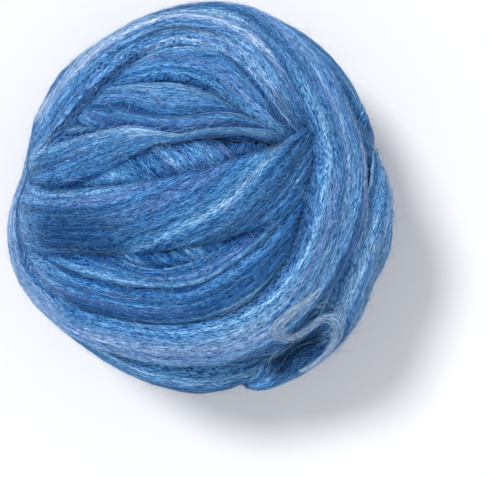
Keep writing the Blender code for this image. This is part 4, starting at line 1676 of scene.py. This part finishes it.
class ROVING_OT_lay_fibres(bpy.types.Operator):
    """Lay fine fibres along the turns, with fuzz and stray hairs over them"""

    bl_idname = "roving.lay_fibres"
    bl_label = "Lay fibres"

    def execute(self, context):
        dyes = context.scene.roving_dyes
        sizes = context.scene.roving_sizes
        template = strand_template(STRAND_RINGS)
        wool = wool_material("wool_fibre", sheen=0.30, bump=0.1)
        rng = np.random.default_rng(FIBRE_DRAWS)
        total = sum(skin.shown_area() for skin in SKINS.values())
        lying = []
        fuzz = []
        for skin in SKINS.values():
            share = skin.shown_area() / total
            lying.append(lying_strands(skin, round(sizes.fibre_count * share), sizes, dyes, rng))
            hairs = round(sizes.fuzz_count * share)
            fuzz.append(fuzz_strands(skin, hairs, FUZZ_RINGS, sizes, dyes, rng))
        frizz = loose_strands(FRIZZ, sizes.frizz_count, sizes.frizz_length, sizes, dyes, rng)
        strays = loose_strands(STRAYS, sizes.stray_count, sizes.stray_length, sizes, dyes, rng)
        deal_out("fibres", gathered(lying), FIBRE_PIECES, template, wool)
        deal_out("frizz", frizz, FRIZZ_PIECES, template, wool)
        short = strand_template(FUZZ_RINGS)
        dressed(strand_piece("fuzz", gathered(fuzz), short), wool, "ball")
        dressed(strand_piece("stray_hairs", strays, template), wool, "ball")
        return {"FINISHED"}


class ROVING_OT_lay_tail(bpy.types.Operator):
    """Lay the loose end down the right side, with its frayed start and its cut tip"""

    bl_idname = "roving.lay_tail"
    bl_label = "Lay loose end"

    def execute(self, context):
        dyes = context.scene.roving_dyes
        sizes = context.scene.roving_sizes
        rng = np.random.default_rng(TAIL_DRAWS)
        skin = TailSkin()
        wool = wool_material("loose_wool", sheen=0.40, bump=0.5)
        tail = dressed(joined("tail_band", turn_band(skin, dyes)), wool, "tail")
        template = strand_template(STRAND_RINGS)
        hairs = [
            lying_strands(skin, TAIL_FIBRES, sizes, dyes, rng),
            fuzz_strands(skin, TAIL_FUZZ, STRAND_RINGS, sizes, dyes, rng)]
        hairs += [end_strands(skin, fray, sizes, dyes, rng) for fray in FRAYS]
        finer = [dressed(strand_piece("tail_fibres", gathered(hairs), template), wool, "tail")]
        for i, lock in enumerate(LOCKS):
            way = LockWay(lock, LOCK_SEED + i)
            parts = [strand_piece(lock.name, lock_strands(way, lock, sizes, dyes, rng), template)]
            if lock.fibres > LOCK_NEEDS_BODY:
                parts.append(lock_body(way, lock.name, dyes))
            finer.append(dressed(joined(lock.name, parts), wool, "tail"))
        return {"FINISHED"}


class ROVING_OT_set_stage(bpy.types.Operator):
    """Set the pale floor, the soft light and the camera over the ball"""

    bl_idname = "roving.set_stage"
    bl_label = "Set stage"

    def execute(self, context):
        stage = context.scene.roving_stage
        deselect()
        bpy.ops.mesh.primitive_plane_add(size=FLOOR_SIZE, location=(0, 0, 0))
        floor = context.object
        floor.name = "floor"
        floor.data.materials.append(floor_material(stage.floor_colour))
        world = bpy.data.worlds.new("soft_room")
        world.use_nodes = True
        sky = world.node_tree.nodes["Background"]
        sky.inputs["Color"].default_value = (1, 1, 1, 1)
        sky.inputs["Strength"].default_value = stage.sky_strength
        context.scene.world = world
        deselect()
        bpy.ops.object.light_add(type="SUN", location=KEY_PLACE)
        key = context.object
        key.name = "key_light"
        key.data.energy = stage.key_strength
        key.data.angle = stage.key_softness
        aim = Vector(-direction(KEY_BEARING, 90 - KEY_RISE))
        key.rotation_euler = aim.to_track_quat("-Z", "Y").to_euler()
        deselect()
        bpy.ops.object.camera_add(location=(
            CAMERA_OFF[0], CAMERA_OFF[1], FLOOR_DROP + stage.camera_height))
        camera = context.object
        camera.name = "camera"
        camera.rotation_euler = (0, 0, 0)
        camera.data.sensor_width = SENSOR_WIDTH
        camera.data.lens = SENSOR_WIDTH * stage.camera_height / VIEW_WIDTH
        camera.data.clip_start = NEAREST
        camera.data.clip_end = FARTHEST
        context.scene.camera = camera
        context.scene.view_settings.view_transform = "Standard"
        context.scene.view_settings.look = "None"
        return {"FINISHED"}


class ROVING_PT_panel(bpy.types.Panel):
    """The steps of laying the roving, with their sizes and colours"""

    bl_idname = "ROVING_PT_panel"
    bl_label = "Wool roving"
    bl_space_type = "VIEW_3D"
    bl_region_type = "UI"
    bl_category = "Roving"

    def draw(self, context):
        layout = self.layout
        for step in STEPS:
            layout.operator(step.bl_idname)
        for settings in (
                context.scene.roving_dyes, context.scene.roving_sizes, context.scene.roving_stage):
            box = layout.box()
            for name in settings.__annotations__:
                box.prop(settings, name)


STEPS = (ROVING_OT_set_stage, ROVING_OT_lay_turns, ROVING_OT_lay_fibres, ROVING_OT_lay_tail)
CLASSES = (RovingDyes, RovingSizes, RovingStage, *STEPS, ROVING_PT_panel)


def register():
    """Add the settings, the operators and the panel."""
    for item in CLASSES:
        bpy.utils.register_class(item)
    bpy.types.Scene.roving_dyes = PointerProperty(type=RovingDyes)
    bpy.types.Scene.roving_sizes = PointerProperty(type=RovingSizes)
    bpy.types.Scene.roving_stage = PointerProperty(type=RovingStage)


def unregister():
    """Take them away again."""
    del bpy.types.Scene.roving_stage
    del bpy.types.Scene.roving_sizes
    del bpy.types.Scene.roving_dyes
    for item in reversed(CLASSES):
        bpy.utils.unregister_class(item)


def main():
    """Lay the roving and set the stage."""
    register()
    bpy.ops.roving.set_stage()
    bpy.ops.roving.lay_turns()
    bpy.ops.roving.lay_fibres()
    bpy.ops.roving.lay_tail()


if __name__ == "__main__":
    main()
